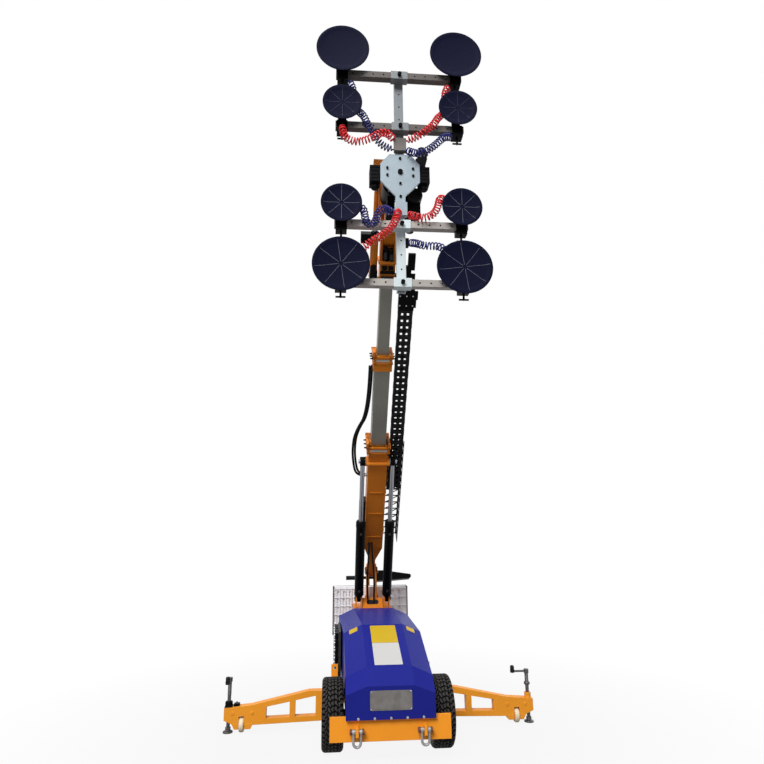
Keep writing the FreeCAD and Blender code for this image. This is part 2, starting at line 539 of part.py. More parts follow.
# Top section with its rear guide, and the tip fork that carries the head.
top = fuse(
    box(("-top_half", "top_half"), ("-top_deep", "top_deep"), ("top_start", "top_end")),
    box(("-middle_half + tube_wall + slide_gap", "middle_half - tube_wall - slide_gap"),
        ("-middle_deep + tube_wall + slide_gap", "middle_deep - tube_wall - slide_gap"),
        ("top_start", "top_start + 50")))
node("boom_top", cut(top, box(("-top_half + tube_wall", "top_half - tube_wall"),
                              ("-top_deep + tube_wall", "top_deep - tube_wall"),
                              ("top_start - 5", "top_end + 5"))), **BOOM)
tip = [box(("-52", "52"), ("-70", "70"), ("top_end", "top_end + 150")),
       box(("-64", "64"), ("-80", "80"), ("top_end + 150", "top_end + 166"))]
for sign in (-1, 1):
    tip += [box(side(sign, "38", "54"), ("-44", "44"), ("top_end + 160", "tip_along")),
            rod("x", "44", side(sign, "38", "54"), ("0", "tip_along"))]
tip += [rod("x", "tilt_pin", ("tilt_x - 22", "-48"), ("tilt_foot_across", "tilt_foot_along")),
        rod("x", "22", ("tilt_x + 32", "-48"), ("tilt_foot_across", "tilt_foot_along"))]
node("boom_tip", cut(fuse(*tip), rod("x", "tip_pin", ("-60", "60"), ("0", "tip_along"))),
     rod("x", "tip_pin", ("-62", "62"), ("0", "tip_along")), **BOOM)

# Valve box on the left of the base section.
node("valve_box", fuse(box(("-base_half - 40", "-base_half"), ("0", "70"), ("520", "760")),
                       box(("-base_half - 52", "-base_half - 40"), ("12", "58"), ("545", "735"))), **BOOM)

# Lift cylinders: barrels turn on the tower's foot pins, rods carry the upper pins.
lift = {"at": ("0", "foot_y", "foot_z"), "lean": "atan2(foot_y - lift_y; lift_z - foot_z)"}
barrels, rods = [], []
for sign in (-1, 1):
    middle = (f"{sign} * lift_x", "0")
    barrels.append(cut(
        fuse(rod("x", "27", (f"{sign} * lift_x - 15", f"{sign} * lift_x + 15"), ("0", "0")),
             rod("z", "14", ("0", "50"), middle),
             rod("z", "barrel_radius", ("42", "barrel_length"), middle)),
        rod("x", "foot_pin + running_gap", (f"{sign} * lift_x - 60", f"{sign} * lift_x + 60"), ("0", "0")),
        rod("z", "barrel_radius - 7", ("60", "barrel_length - 40"), middle),
        rod("z", "rod_radius + running_gap", ("barrel_length - 45", "barrel_length + 5"), middle)))
    rods.append(fuse(
        rod("z", "rod_radius", ("barrel_length - 130", "lift_reach - 30"), middle),
        rod("z", "barrel_radius - 7 - running_gap", ("barrel_length - 150", "barrel_length - 120"), middle),
        rod("x", "34", side(sign, "lift_x - 20", "lift_x + 20"), ("0", "lift_reach")),
        rod("x", "rod_pin", side(sign, "base_half - 2", "lift_x + 30"), ("0", "lift_reach")),
        rod("x", "boss_radius", side(sign, "lift_x - 25", "lift_x - 20"), ("0", "lift_reach"))))
node("lift_barrels", *barrels, **lift)
node("lift_rods", *rods, **lift)

# Energy chain: tray on the base section, fixed run, bend, and moving run that ends on the tip.
run_x = ("chain_near", "chain_far")
tray = [
    box(("chain_near - 8", "chain_far + 8"), ("chain_back + chain_deep", "chain_back + chain_deep + 4"),
        ("chain_foot - 20", "chain_fixed")),
    box(("chain_far + 4", "chain_far + 8"), ("chain_front - 4", "chain_back + chain_deep + 4"),
        ("chain_foot - 20", "chain_fixed")),
    box(("chain_near - 8", "chain_near - 4"), ("chain_back - 6", "chain_back + chain_deep + 4"),
        ("chain_foot - 20", "chain_fixed")),
]
tray += [box(("base_half", "chain_near - 4"), ("20", "95"),
             (f"chain_foot + {share} * tray_span", f"chain_foot + {share} * tray_span + 30"))
         for share in (0.08, 0.48, 0.84)]
tray_holes = []
for k in range(13):
    low = f"chain_foot + {0.06 + 0.07 * k:.2f} * tray_span"
    rise = ("chain_front + 14", low), ("chain_back + 10", low), ("chain_back + 10", f"{low} + 50")
    tray_holes.append(prism("x", list(rise), ("chain_far", "chain_far + 12")))
node("chain_tray", cut(fuse(*tray), *tray_holes), **BOOM)


def chain_run(front, low, high):
    """A straight run: a core with one raised link after another."""
    links = int((place(high) - place(low)) // number("chain_link"))
    core = box(("chain_near + 8", "chain_far - 8"), (f"{front} + 5", f"{front} + chain_deep - 5"),
               (low, high))
    return fuse(core, *[box(run_x, (front, f"{front} + chain_deep"),
                            (f"{low} + {k} * chain_link + 4", f"{low} + {k + 1} * chain_link - 4"))
                        for k in range(links)])


node("chain_fixed_run", chain_run("chain_back", "chain_turn", "chain_fixed"), **BOOM)
turn_at = ("(chain_front + chain_back + chain_deep) / 2", "chain_turn")
half_span = "((chain_back - chain_front + chain_deep) / 2)"
node("chain_bend", cut(rod("x", half_span, run_x, turn_at),
                       rod("x", f"{half_span} - chain_deep", ("0", "300"), turn_at),
                       box(("0", "300"), ("-100", "300"), ("chain_turn", "chain_turn + 200"))), **BOOM)
node("chain_moving_run", chain_run("chain_front", "chain_turn", "chain_tip"),
     fuse(box(("52", "chain_far + 4"), ("chain_front + chain_deep", "chain_front + chain_deep + 8"),
              ("chain_tip - 60", "chain_tip + 90")),
          box(("52", "64"), ("-20", "chain_front + chain_deep"), ("chain_tip + 40", "chain_tip + 90"))),
     **BOOM)

# Tilt knuckle on the tip pin: lug, arm, fork for the pan pin, and the ear of the tilt actuator.
tilt_y, tilt_z = "tilt_head_y", "head_z + tilt_head_rise"
knuckle = fuse(
    rod("x", "46", ("-36", "36"), ("tip_y", "tip_z")),
    box(("-36", "36"), ("pan_y + 55", "tip_y"), ("tip_z - 46", "tip_z + 46")),
    box(("-62", "62"), ("pan_y + 55", "pan_y + 75"), ("head_z - 78", "head_z + 78")),
    box(("-62", "62"), ("pan_y - 50", "pan_y + 75"), ("head_z + 62", "head_z + 78")),
    box(("-62", "62"), ("pan_y - 50", "pan_y + 75"), ("head_z - 78", "head_z - 62")),
    box(("tilt_x + 20", "-40"), (tilt_y + " - 30", "pan_y + 70"), ("head_z + 62", "head_z + 78")),
    box(("tilt_x + 20", "tilt_x + 32"), (tilt_y + " - 30", tilt_y + " + 30"),
        ("head_z + 62", tilt_z + " + 30")))
node("tilt_knuckle", cut(knuckle, rod("x", "tip_pin + running_gap", ("-60", "60"), ("tip_y", "tip_z")),
                         rod("z", "pan_pin", ("2000", "5000"), ("0", "pan_y")),
                         rod("x", "21", ("tilt_x + 10", "tilt_x + 40"), (tilt_y, tilt_z))),
     rod("z", "pan_pin", ("head_z - 86", "head_z + 86"), ("0", "pan_y")))

# Tilt actuator: barrel on the tip's stud, rod whose own pin lies in the knuckle's ear.
tilt = {"at": ("tilt_x", "tilt_foot_y", "tilt_foot_z"),
        "lean": "atan2(tilt_foot_y - tilt_head_y; head_z + tilt_head_rise - tilt_foot_z)"}
node("tilt_barrel", cut(
    fuse(rod("x", "18", ("-14", "14"), ("0", "0")), rod("z", "26", ("14", "330"), ("0", "0")),
         rod("z", "30", ("20", "70"), ("0", "0"))),
    rod("x", "tilt_pin + running_gap", ("-20", "20"), ("0", "0")),
    rod("z", "20", ("90", "310"), ("0", "0")), rod("z", "12 + running_gap", ("300", "340"), ("0", "0"))),
     **tilt)
node("tilt_rod", fuse(rod("z", "12", ("220", "tilt_reach - 10"), ("0", "0")),
                      rod("z", "20 - running_gap", ("215", "235"), ("0", "0")),
                      rod("x", "22", ("-14", "14"), ("0", "tilt_reach")),
                      rod("x", "tilt_pin", ("-18", "34"), ("0", "tilt_reach")),
                      rod("x", "27", ("14", "18"), ("0", "tilt_reach"))), **tilt)

# Pan yoke between the knuckle's fork plates, with the flange that carries the rotator.
node("pan_yoke", cut(
    fuse(rod("z", "44", ("head_z - 61", "head_z + 61"), ("0", "pan_y")),
         box(("-44", "44"), ("drive_back + 12", "pan_y"), ("head_z - 61", "head_z + 61")),
         box(("-98", "98"), ("drive_back", "drive_back + 14"), ("head_z - 98", "head_z + 98"))),
    rod("z", "pan_pin + running_gap", ("2000", "5000"), ("0", "pan_y"))))
node("rotator_drive", fuse(
    rod("y", "88", ("drive_front", "drive_back"), ("0", "head_z")),
    box(("20", "130"), ("drive_front + 20", "drive_back"), ("head_z - 190", "head_z - 60")),
    box(("-60", "-10"), ("drive_front + 30", "drive_back"), ("head_z - 150", "head_z - 60"))))

# Mount plate with its hub: an eight-sided plate with a tail on the front of the spine.
half = [("-27", "head_z - 190"), ("-27", "head_z - 150"), ("-plate_half", "head_z - 60"),
        ("-plate_half", "head_z + 50"),
        ("-60", "head_z + 110")]
plate = prism("y", half + [(f"-({x})", z) for x, z in reversed(half)],
              ("spine_front - plate_thick", "spine_front"))
node("mount_plate", plate, rod("y", "60", ("spine_back", "drive_front - running_gap"), ("0", "head_z")))

# Frame spine with a welded sleeve for each crossbar; the crossbars slide in them and are drilled.
ROWS = (("row_top", "large"), ("row_upper", "small"), ("row_lower", "small"), ("row_bottom", "large"))
bar_z = {row: f"({row} - drop_{row[4:]})" for row, kind in ROWS}
sleeve_y = ("bar_mid - sleeve_half", "bar_mid + sleeve_half")
spine = [cut(box(("-spine_wide / 2", "spine_wide / 2"), ("spine_front", "spine_back"),
                 ("spine_low", "spine_top")),
             box(("-spine_wide / 2 + 4", "spine_wide / 2 - 4"), ("spine_front + 4", "spine_back - 4"),
                 ("spine_low - 5", "spine_top + 5")))]
spine += [box(("-sleeve_long", "sleeve_long"), sleeve_y,
              (f"{bar_z[row]} - sleeve_half", f"{bar_z[row]} + sleeve_half"))
          for row, kind in ROWS]
bar_room = "bar_half + bar_gap"
sleeve_holes = [box(("-100", "100"), (f"bar_mid - ({bar_room})", f"bar_mid + {bar_room}"),
                    (f"{bar_z[row]} - ({bar_room})", f"{bar_z[row]} + {bar_room}")) for row, kind in ROWS]
node("frame_spine", cut(fuse(*spine), *sleeve_holes))
bars = []
for row, kind in ROWS:
    whole = box(("-bar_long", "bar_long"), ("bar_mid - bar_half", "bar_mid + bar_half"),
                (f"{bar_z[row]} - bar_half", f"{bar_z[row]} + bar_half"))
    hollow = box(("-bar_long - 5", "bar_long + 5"), ("bar_mid - bar_half + 3", "bar_mid + bar_half - 3"),
                 (f"{bar_z[row]} - bar_half + 3", f"{bar_z[row]} + bar_half - 3"))
    drilled = [rod("y", "5", ("bar_mid - 40", "bar_mid + 40"), (f"{sign * at}", bar_z[row]))
               for at in (90, 150, 210, 270) for sign in (-1, 1)]
    bars.append(cut(whole, hollow, *drilled))
node("crossbars", *bars)

# Fasteners of the suction frame: plate bolts, lock knobs on the sleeves, clamp screws with cross handles.
plate_front = "spine_front - plate_thick"
bolts = [rod("y", "7", (f"{plate_front} - 7", plate_front), (f"{x}", f"head_z + {z}"))
         for x, z in ((-72, 22), (-72, -22), (72, 22), (72, -22), (0, -72), (0, 84), (0, -152))]
bolts.append(rod("y", "14", (f"{plate_front} - 10", plate_front), ("0", "head_z")))
bolts += [rod("y", "11", ("bar_mid - sleeve_half - 16", "bar_mid - sleeve_half"), ("0", bar_z[row]))
          for row, kind in ROWS]
for row, kind in ROWS:
    for sign in (-1, 1):
        x = f"{sign} * cup_x"
        bolts.append(fuse(rod("z", "6", (f"{bar_z[row]} - 84", f"{bar_z[row]} - 46"), (x, "bar_mid")),
                          rod("x", "5", (f"{x} - 26", f"{x} + 26"), ("bar_mid", f"{bar_z[row]} - 80"))))
node("frame_fasteners", *bolts)

# Cup carriers: a clamp round the bar with an upright arm behind the pad and a stud for it.
carriers = []
for row, kind in ROWS:
    for sign in (-1, 1):
        x = f"{sign} * cup_x"
        clamp = box((f"{x} - 30", f"{x} + 30"), ("bar_mid - 23", "bar_mid + 30"),
                    (f"{bar_z[row]} - 46", f"{bar_z[row]} + 24"))
        arm_box = box((f"{x} - 24", f"{x} + 24"), ("bar_mid + 6", "bar_mid + 20"),
                      (f"{bar_z[row]} + 22", f"{row} + 26"))
        stud = rod("y", "8", ("cup_face + cup_deep + 12", "bar_mid + 8"), (x, row))
        ball = doc.addObject("Part::Sphere", "ball")
        bind(ball, "Radius", "ball_radius")
        put(ball, (x, "cup_face + cup_deep + 12", row))
        channel = box((f"{x} - 40", f"{x} + 40"), ("bar_mid - bar_half", "bar_mid + bar_half"),
                      (f"{bar_z[row]} - bar_half", f"{bar_z[row]} + bar_half"))
        pin_hole = rod("x", "swivel_pin + running_gap", (f"{x} - 20", f"{x} + 20"),
                       ("cup_face + cup_deep + 12", row))
        carriers.append(cut(fuse(clamp, arm_box, stud, ball), channel, pin_hole))
node("cup_carriers", *carriers)

# Suction cups: a rubber pad with a lip and a hub behind whose cross pin swivels in the carrier's ball.
for row, kind in ROWS:
    for word, sign in BOTH:
        edge = f"{kind}_cup"
        pad = [("0", "6"), (f"{edge} - 34", "6"), (f"{edge} - 14", "0"), (edge, "0"), (edge, "4"),
               (f"{edge} - 12", "18"),
               (f"{edge} - 24", "cup_deep"), ("34", "cup_deep"), ("30", "cup_deep + 20"),
               ("ball_radius + running_gap", "cup_deep + 20"),
               ("ball_radius + running_gap", "cup_deep - 1"), ("0", "cup_deep - 1")]
        pin = rod("x", "swivel_pin", (f"{sign} * cup_x - 28", f"{sign} * cup_x + 28"),
                  ("cup_face + cup_deep + 12", row))
        node(f"{row[4:]}_{word}_cup", fuse(turned("y", pad, (f"{sign} * cup_x", "cup_face", row)), pin))

# Vacuum units beside the plate and hose manifolds on the spine.
units = [box(side(sign, "108", "168"), ("spine_front + 2", "spine_back + 34"),
             ("head_z - 52", "head_z + 48")) for sign in (-1, 1)]
straps = [box(side(sign, "spine_wide / 2", "110"), ("spine_back - 12", "spine_back"),
              ("head_z - 20", "head_z + 20")) for sign in (-1, 1)]
manifolds = [box(("-34", "34"), ("spine_front - 30", "spine_front"),
                 (f"head_z + {at} - 40", f"head_z + {at} + 40")) for at in (165, -235)]
port_block = box(("spine_wide / 2", "spine_wide / 2 + 20"), ("spine_front + 6", "spine_back - 6"),
                 ("head_z - 435", "head_z - 391"))
node("vacuum_units", *[fuse(unit, strap) for unit, strap in zip(units, straps)], *manifolds, port_block)

doc.recompute()


HEAD_Z, BAR_MID = place("head_z"), place("bar_mid")
HOSE, COIL, CUP_X = number("hose_radius"), number("coil_radius"), number("cup_x")


def biarc(start, heading, end, leaving):
    """Two arcs from start to end that leave and arrive along the given directions."""
    chord, both = end - start, heading + leaving
    a = 2 * (1 - heading.dot(leaving))
    b = chord.dot(both)
    if a < 1e-9:
        reach = chord.dot(chord) / (4 * chord.dot(leaving))
    else:
        reach = (-b + math.sqrt(b * b + a * chord.dot(chord))) / a
    joint = (start + heading * reach + end - leaving * reach) * 0.5
    return [arc(start, heading, joint), arc(end, leaving * -1, joint)]


def arc(start, heading, end):
    """The arc from start along heading to end, or a line where it doesn't turn."""
    chord = end - start
    along_chord = FreeCAD.Vector(chord).normalize()
    sideways = heading - along_chord * heading.dot(along_chord)
    if sideways.Length < 1e-5:
        return Part.LineSegment(start, end).toShape()
    half_turn = math.atan2(sideways.Length, heading.dot(along_chord)) / 2
    rise = FreeCAD.Vector(sideways).normalize() * (chord.Length / 2 * math.tan(half_turn))
    return Part.Arc(start, start + chord * 0.5 + rise, end).toShape()


def coiled_hose(points, leaving, arriving, curls):
    """A vacuum hose as one tube, wound evenly about a smooth curve, with straight ends."""
    line = Part.BSplineCurve()
    line.interpolate(Points=points, InitialTangent=leaving, FinalTangent=arriving, Scale=False)
    middle = line.toShape()
    steps = 40 * curls
    sideways = leaving.cross(FreeCAD.Vector(0.3, 0.2, 1))
    spots, ahead = [], leaving
    for k in range(steps + 1):
        share = k / steps
        at = middle.getParameterByLength(middle.Length * share)
        ahead = middle.tangentAt(at)
        sideways = (sideways - ahead * sideways.dot(ahead)).normalize()
        fade = min(1.0, share / FADE, (1 - share) / FADE)
        fade = fade * fade * (3 - 2 * fade)
        angle = 2 * math.pi * curls * share
        out = sideways * math.cos(angle) + ahead.cross(sideways) * math.sin(angle)
        spots.append(middle.valueAt(at) + out * (COIL * fade))
    ends = list(range(0, steps + 1, 10))
    headings = [leaving] + [(spots[k + 1] - spots[k - 1]).normalize() for k in ends[1:-1]] + [arriving]
    edges = []
    for k in range(len(ends) - 1):
        edges += biarc(spots[ends[k]], headings[k], spots[ends[k + 1]], headings[k + 1])
    wire = Part.Wire(Part.__sortEdges__(edges))
    tube = wire.makePipeShell([Part.Wire(Part.Circle(points[0], leaving, HOSE).toShape())], True, False)
    apart = min((spots[i] - spots[j]).Length for i in range(0, steps, 2) for j in range(i + 24, steps, 2))
    print("hose: gap to itself", round(apart - 2 * HOSE, 2), "length", round(wire.Length), "volume ratio",
          round(tube.Volume / (math.pi * HOSE ** 2 * wire.Length), 3))
    return tube


def laid_hose(points, radius):
    """A hose of straight runs with a tangent arc at each corner."""
    edges, last = [], points[0]
    for k in range(1, len(points) - 1):
        before, after = points[k] - points[k - 1], points[k + 1] - points[k]
        half = before.getAngle(after) / 2
        cut_back = 0.45 * min(before.Length, after.Length)
        into = points[k] - before.normalize() * cut_back
        out = points[k] + after.normalize() * cut_back
        edges += [Part.LineSegment(last, into).toShape(), arc(into, before, out)]
        print("bend radius", round(cut_back / math.tan(half), 1))
        last = out
    edges.append(Part.LineSegment(last, points[-1]).toShape())
    wire = Part.Wire(edges)
    heading = (points[1] - points[0]).normalize()
    tube = wire.makePipeShell([Part.Wire(Part.Circle(points[0], heading, radius).toShape())], True, False)
    print("laid hose: length", round(wire.Length), "volume ratio",
          round(tube.Volume / (math.pi * radius ** 2 * wire.Length), 3))
    return tube


def hose_node(name, tubes, at=("0", "0", "0"), lean="0"):
    thing = doc.addObject("Part::Feature", name)
    thing.Shape = Part.makeCompound(tubes)
    thing.Label = name
    put(thing, (at[0], f"axle_y + ({at[1]})", at[2]), FreeCAD.Rotation(FreeCAD.Vector(1, 0, 0), 1))
    bind(thing, "Placement.Rotation.Angle", lean)
    NODES.append(thing)


# Coiled vacuum hoses from the cups' carriers to the manifolds, hanging in front of the crossbars.
# Each has its colour, row and side, the way it leaves, points given inwards of the cup's middle, forwards
# of the bar and above the cup's middle, then the manifold, the way it arrives, and points given outwards
# of the spine, forwards of its face and above the manifold's middle.
FADE = 0.12
UPPER, LOWER = HEAD_Z + 165, HEAD_Z - 235
SPINE_FRONT = place("spine_front")
DOWN_BEHIND = [(30, 0, -165), (60, 6, -200), (63, 9, -300), (70, 8, -350), (96, 22, -390), (116, 38, -418)]
HOSES = [
    ("blue", "row_top", -1, "inwards", DOWN_BEHIND + [(140, 40, -475), (172, 24, -525)],
     UPPER, "inwards", [(118, 26, 4), (80, 17, -18), (34, 15, -28)]),
    ("red", "row_top", 1, "inwards", DOWN_BEHIND + [(135, 41, -458), (185, 38, -507)],
     UPPER, "inwards", [(90, 40, 40), (34, 15, 28)]),
    ("red", "row_upper", -1, "forwards",
     [(5, 23, -138), (3, 41, -152), (5, 43, -185), (24, 43, -222), (84, 43, -243), (155, 43, -215),
      (215, 43, -172)],
     UPPER, "inwards", [(68, 55, 47), (34, 15, 28)]),
    ("blue", "row_upper", 1, "inwards",
     [(30, 0, -150), (52, 18, -162), (84, 41, -182), (128, 43, -232), (180, 43, -276)],
     UPPER, "inwards", [(100, 64, -80), (64, 45, -62), (34, 15, -28)]),
    ("blue", "row_lower", -1, "inwards",
     [(24, -13, -5), (62, -4, 2), (100, 14, 0), (121, 38, -26), (126, 42, -85), (155, 43, -138),
      (184, 42, -92),
      (196, 41, -40), (226, 34, -10)],
     LOWER, "inwards", [(62, 30, -18), (34, 15, -28)]),
    ("red", "row_lower", 1, "inwards",
     [(24, -13, 12), (52, -6, 50), (88, 12, 74), (112, 36, 52), (126, 41, 0), (160, 42, -48),
      (214, 43, -70)],
     LOWER, "inwards", [(66, 58, -58), (34, 15, -28)]),
    ("red", "row_bottom", -1, "inwards",
     [(24, -13, 10), (62, -6, 60), (95, 8, 92), (122, 32, 108), (165, 42, 138), (217, 43, 172),
      (262, 44, 212)],
     LOWER, "backwards", [(40, 70, -103), (24, 66, -58), (14, 30, -12)]),
    ("blue", "row_bottom", 1, "inwards",
     [(24, -13, 10), (50, -6, 60), (75, 6, 98), (100, 24, 116), (140, 39, 118), (205, 38, 122)],
     LOWER, "inwards", [(84, 40, -212), (64, 6, -190), (44, -24, -178)]),
]
tubes = {"red": [], "blue": []}
for colour, row, sign, leaves, by_cup, manifold, arrives, by_port in HOSES:
    ways = {"inwards": FreeCAD.Vector(-sign, 0, 0), "forwards": FreeCAD.Vector(0, -1, 0),
            "backwards": FreeCAD.Vector(0, 1, 0)}
    points = [FreeCAD.Vector(sign * (CUP_X - x), BAR_MID - y, number(row) + z) for x, y, z in by_cup]
    points += [FreeCAD.Vector(sign * x, SPINE_FRONT - y, manifold + z) for x, y, z in by_port]
    tubes[colour].append(coiled_hose(points, ways[leaves], ways[arrives], int(number("curls"))))
for colour in tubes:
    hose_node(colour + "_hoses", tubes[colour])

# Hydraulic hoses: two from the deck slot to the boom's underside, two in a loop on the boom's left side.
LEAN = math.radians(number("boom_lean"))


def on_boom(x, across, reach):
    """A point of the boom's own frame, in the machine's."""
    return FreeCAD.Vector(x, number("boom_pivot_y") + across * math.cos(LEAN) - reach * math.sin(LEAN),
                          number("boom_pivot_z") + across * math.sin(LEAN) + reach * math.cos(LEAN))


slot_y, under = number("deck_front") + 43, -number("base_deep")
deck = number("deck_top")
hose_node("tower_hoses", [laid_hose(
    [FreeCAD.Vector(low, slot_y, deck - 60), FreeCAD.Vector(bulge, slot_y, deck + 130),
     on_boom(high, under - 60, 400), on_boom(high, under, 400)], 8)
                          for low, bulge, high in ((-28, -54, -40), (0, 22, -18))])
left = -number("base_half")
rest_x = -number("middle_half") - 6
eye = number("lift_along")
hose_node("boom_hoses", [laid_hose(
    [FreeCAD.Vector(left, across, eye - 190), FreeCAD.Vector(left - 62, across, eye - 190),
     FreeCAD.Vector(left - 90, across, eye - 60), FreeCAD.Vector(left - 98, across, eye + 80),
     FreeCAD.Vector(left - 80, across, eye + 220),
     FreeCAD.Vector(rest_x, across, eye + 400), FreeCAD.Vector(rest_x, across, number("middle_end") - 60)],
     6)
    for across in (16, 32)], **BOOM)

doc.removeObject(spare.Name)
doc.recompute()
faults = [o.Label for o in doc.Objects if "Invalid" in o.State or "Error" in o.State]
faults += [n.Label for n in NODES if n.Shape.isNull() or not n.Shape.isValid()]
if faults:
    raise RuntimeError("not sound: " + ", ".join(faults))
os.makedirs("parts", exist_ok=True)
for n in NODES:
    n.Shape.exportStep(f"parts/{n.Label}.step")
whole = Part.makeCompound([n.Shape for n in NODES]).BoundBox
print(len(NODES), "nodes", [round(v, 1) for v in (whole.XMin, whole.XMax, whole.YMin, whole.YMax,
                                                  whole.ZMin, whole.ZMax)])
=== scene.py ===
import math
import bmesh
import bpy
import numpy as np
from mathutils import Matrix


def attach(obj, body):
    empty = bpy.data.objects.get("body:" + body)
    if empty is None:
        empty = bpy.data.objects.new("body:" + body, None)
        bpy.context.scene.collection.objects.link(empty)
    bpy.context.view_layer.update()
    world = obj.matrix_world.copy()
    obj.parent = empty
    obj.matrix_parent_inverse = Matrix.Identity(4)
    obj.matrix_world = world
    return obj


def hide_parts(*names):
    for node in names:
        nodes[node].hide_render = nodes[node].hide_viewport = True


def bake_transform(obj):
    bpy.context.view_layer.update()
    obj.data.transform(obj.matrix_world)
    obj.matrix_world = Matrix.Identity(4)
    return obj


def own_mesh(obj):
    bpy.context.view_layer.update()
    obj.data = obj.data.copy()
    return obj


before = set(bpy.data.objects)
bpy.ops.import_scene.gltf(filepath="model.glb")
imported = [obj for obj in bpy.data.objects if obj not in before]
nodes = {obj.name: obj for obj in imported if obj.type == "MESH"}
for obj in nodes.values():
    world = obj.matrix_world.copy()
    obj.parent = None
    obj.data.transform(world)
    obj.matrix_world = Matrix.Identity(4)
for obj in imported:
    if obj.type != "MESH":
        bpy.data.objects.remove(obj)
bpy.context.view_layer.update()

# Studio: the camera stands at the photograph's place, low in front and a little to the left. The white floor
# keeps a faint shadow, and soft lamps, mostly high in front, leave undersides in shade. Places are in mm from
# the ground below the front axle, which lies in front of the frame's origin.
AXLE = -372.5
YAW, PITCH, ROLL = (math.radians(angle) for angle in (4.89, 13.7, -0.46))
CAMERA_AT, LENS, SENSOR = (-358, -4040, 1333), 27.75, 36.0
WHITE, WORLD_LIGHT = (1.0, 1.0, 1.0, 1.0), 0.24
FLOOR_SHADES = (0.17, 0.17, 0.17, 1.0), (0.21, 0.21, 0.21, 1.0)


def spot(points):
    """Points from the axle, in mm, as metres of the frame."""
    return (np.asarray(points, dtype=float) + (0, AXLE, 0)) / 1000


def linked(name, data):
    """A new object of the scene, which shows the data."""
    thing = bpy.data.objects.new(name, data)
    bpy.context.scene.collection.objects.link(thing)
    return thing


def stand(thing, sideways, upward, backward, at):
    """Puts a camera or a lamp at a place in metres, with its own three axes along the given ones."""
    placed = np.eye(4)
    placed[:3, 0], placed[:3, 1], placed[:3, 2], placed[:3, 3] = sideways, upward, backward, at
    thing.matrix_world = Matrix(placed.tolist())


ahead = np.array([math.sin(YAW) * math.cos(PITCH), math.cos(YAW) * math.cos(PITCH), math.sin(PITCH)])
level = np.array([math.cos(YAW), -math.sin(YAW), 0.0])
upward = np.cross(level, ahead)
level, upward = (level * math.cos(ROLL) + upward * math.sin(ROLL),
                 upward * math.cos(ROLL) - level * math.sin(ROLL))
lens = bpy.data.cameras.new("camera")
lens.lens = LENS
lens.sensor_width = SENSOR
camera = linked("camera", lens)
stand(camera, level, upward, -ahead, spot(CAMERA_AT))
bpy.context.scene.camera = camera
bpy.context.scene.view_settings.view_transform = "Standard"


def add(tree, kind, sockets=None, **settings):
    """A shader node with its settings, its sockets given a value or linked to another socket or node."""
    made = tree.nodes.new(kind)
    for name, value in settings.items():
        setattr(made, name, value)
    for name, value in (sockets or {}).items():
        value = value.outputs[0] if isinstance(value, bpy.types.Node) else value
        if isinstance(value, bpy.types.NodeSocket):
            tree.links.new(value, made.inputs[name])
        else:
            made.inputs[name].default_value = value
    return made


def blended(tree, share, first, second):
    """The colour that lies between two colours by a share."""
    return add(tree, "ShaderNodeMix", {0: share, 6: first, 7: second}, data_type="RGBA").outputs[2]


def seen_directly(tree):
    """One for rays from the camera, from gloss and through glass, and none for light that falls on things."""
    path = add(tree, "ShaderNodeLightPath")
    either = add(tree, "ShaderNodeMath", {0: path.outputs["Is Camera Ray"], 1: path.outputs["Is Glossy Ray"]},
                 operation="MAXIMUM")
    return add(tree, "ShaderNodeMath", {0: either, 1: path.outputs["Is Transmission Ray"]},
               operation="MAXIMUM")


world = bpy.data.worlds.new("studio")
bpy.context.scene.world = world
world.use_nodes = True
tree = world.node_tree
tree.nodes.clear()
dim = add(tree, "ShaderNodeBackground", {"Color": WHITE, "Strength": WORLD_LIGHT})
white = add(tree, "ShaderNodeBackground", {"Color": WHITE, "Strength": 1.0})
either = add(tree, "ShaderNodeMixShader", {0: seen_directly(tree), 1: dim, 2: white})
add(tree, "ShaderNodeOutputWorld", {"Surface": either})
for name, at, aim, size, power in (("overhead", (0.0, -1.6, 13.0), (0.0, -0.2, 0.0), 9.0, 700.0),
                                   ("front_left", (-7.0, -15.0, 16.0), (0.0, -0.3, 1.2), 10.0, 5200.0),
                                   ("rear_right", (11.0, 9.0, 7.0), (0.0, 0.3, 1.5), 8.0, 560.0)):
    lamp = bpy.data.lights.new(name, "AREA")
    lamp.energy = power
    lamp.size = size
    away = np.array(at) - np.array(aim)
    away = away / np.linalg.norm(away)
    sideways = np.cross((0.0, 1.0, 0.0) if abs(away[2]) > 0.9 else (0.0, 0.0, 1.0), away)
    sideways = sideways / np.linalg.norm(sideways)
    stand(linked(name, lamp), sideways, np.cross(away, sideways), away, at)

floor_finish = bpy.data.materials.new("floor")
floor_finish.use_nodes = True
tree = floor_finish.node_tree
ground = tree.nodes["Principled BSDF"]
ground.inputs["Roughness"].default_value = 0.9
where = add(tree, "ShaderNodeTexCoord")
grain = add(tree, "ShaderNodeTexNoise", {"Vector": where.outputs["Object"], "Scale": 3.0, "Detail": 3.0})
tree.links.new(blended(tree, grain, *FLOOR_SHADES), ground.inputs["Base Color"])
far = add(tree, "ShaderNodeVectorMath", {0: where.outputs["Object"]}, operation="LENGTH")
whiteness = add(tree, "ShaderNodeMapRange", {"Value": far.outputs["Value"], "From Min": 1.0, "From Max": 3.0,
                                             "To Min": 0.90, "To Max": 1.0})
shown = add(tree, "ShaderNodeMath", {0: whiteness, 1: seen_directly(tree)}, operation="MULTIPLY")
glow = add(tree, "ShaderNodeEmission", {"Color": WHITE, "Strength": 1.0})
both = add(tree, "ShaderNodeMixShader", {0: shown, 1: ground, 2: glow})
tree.links.new(both.outputs[0], tree.nodes["Material Output"].inputs["Surface"])
sheet = bpy.data.meshes.new("floor")
sheet.from_pydata([(-18, -12, 0), (18, -12, 0), (18, 24, 0), (-18, 24, 0)], [], [(0, 1, 2, 3)])
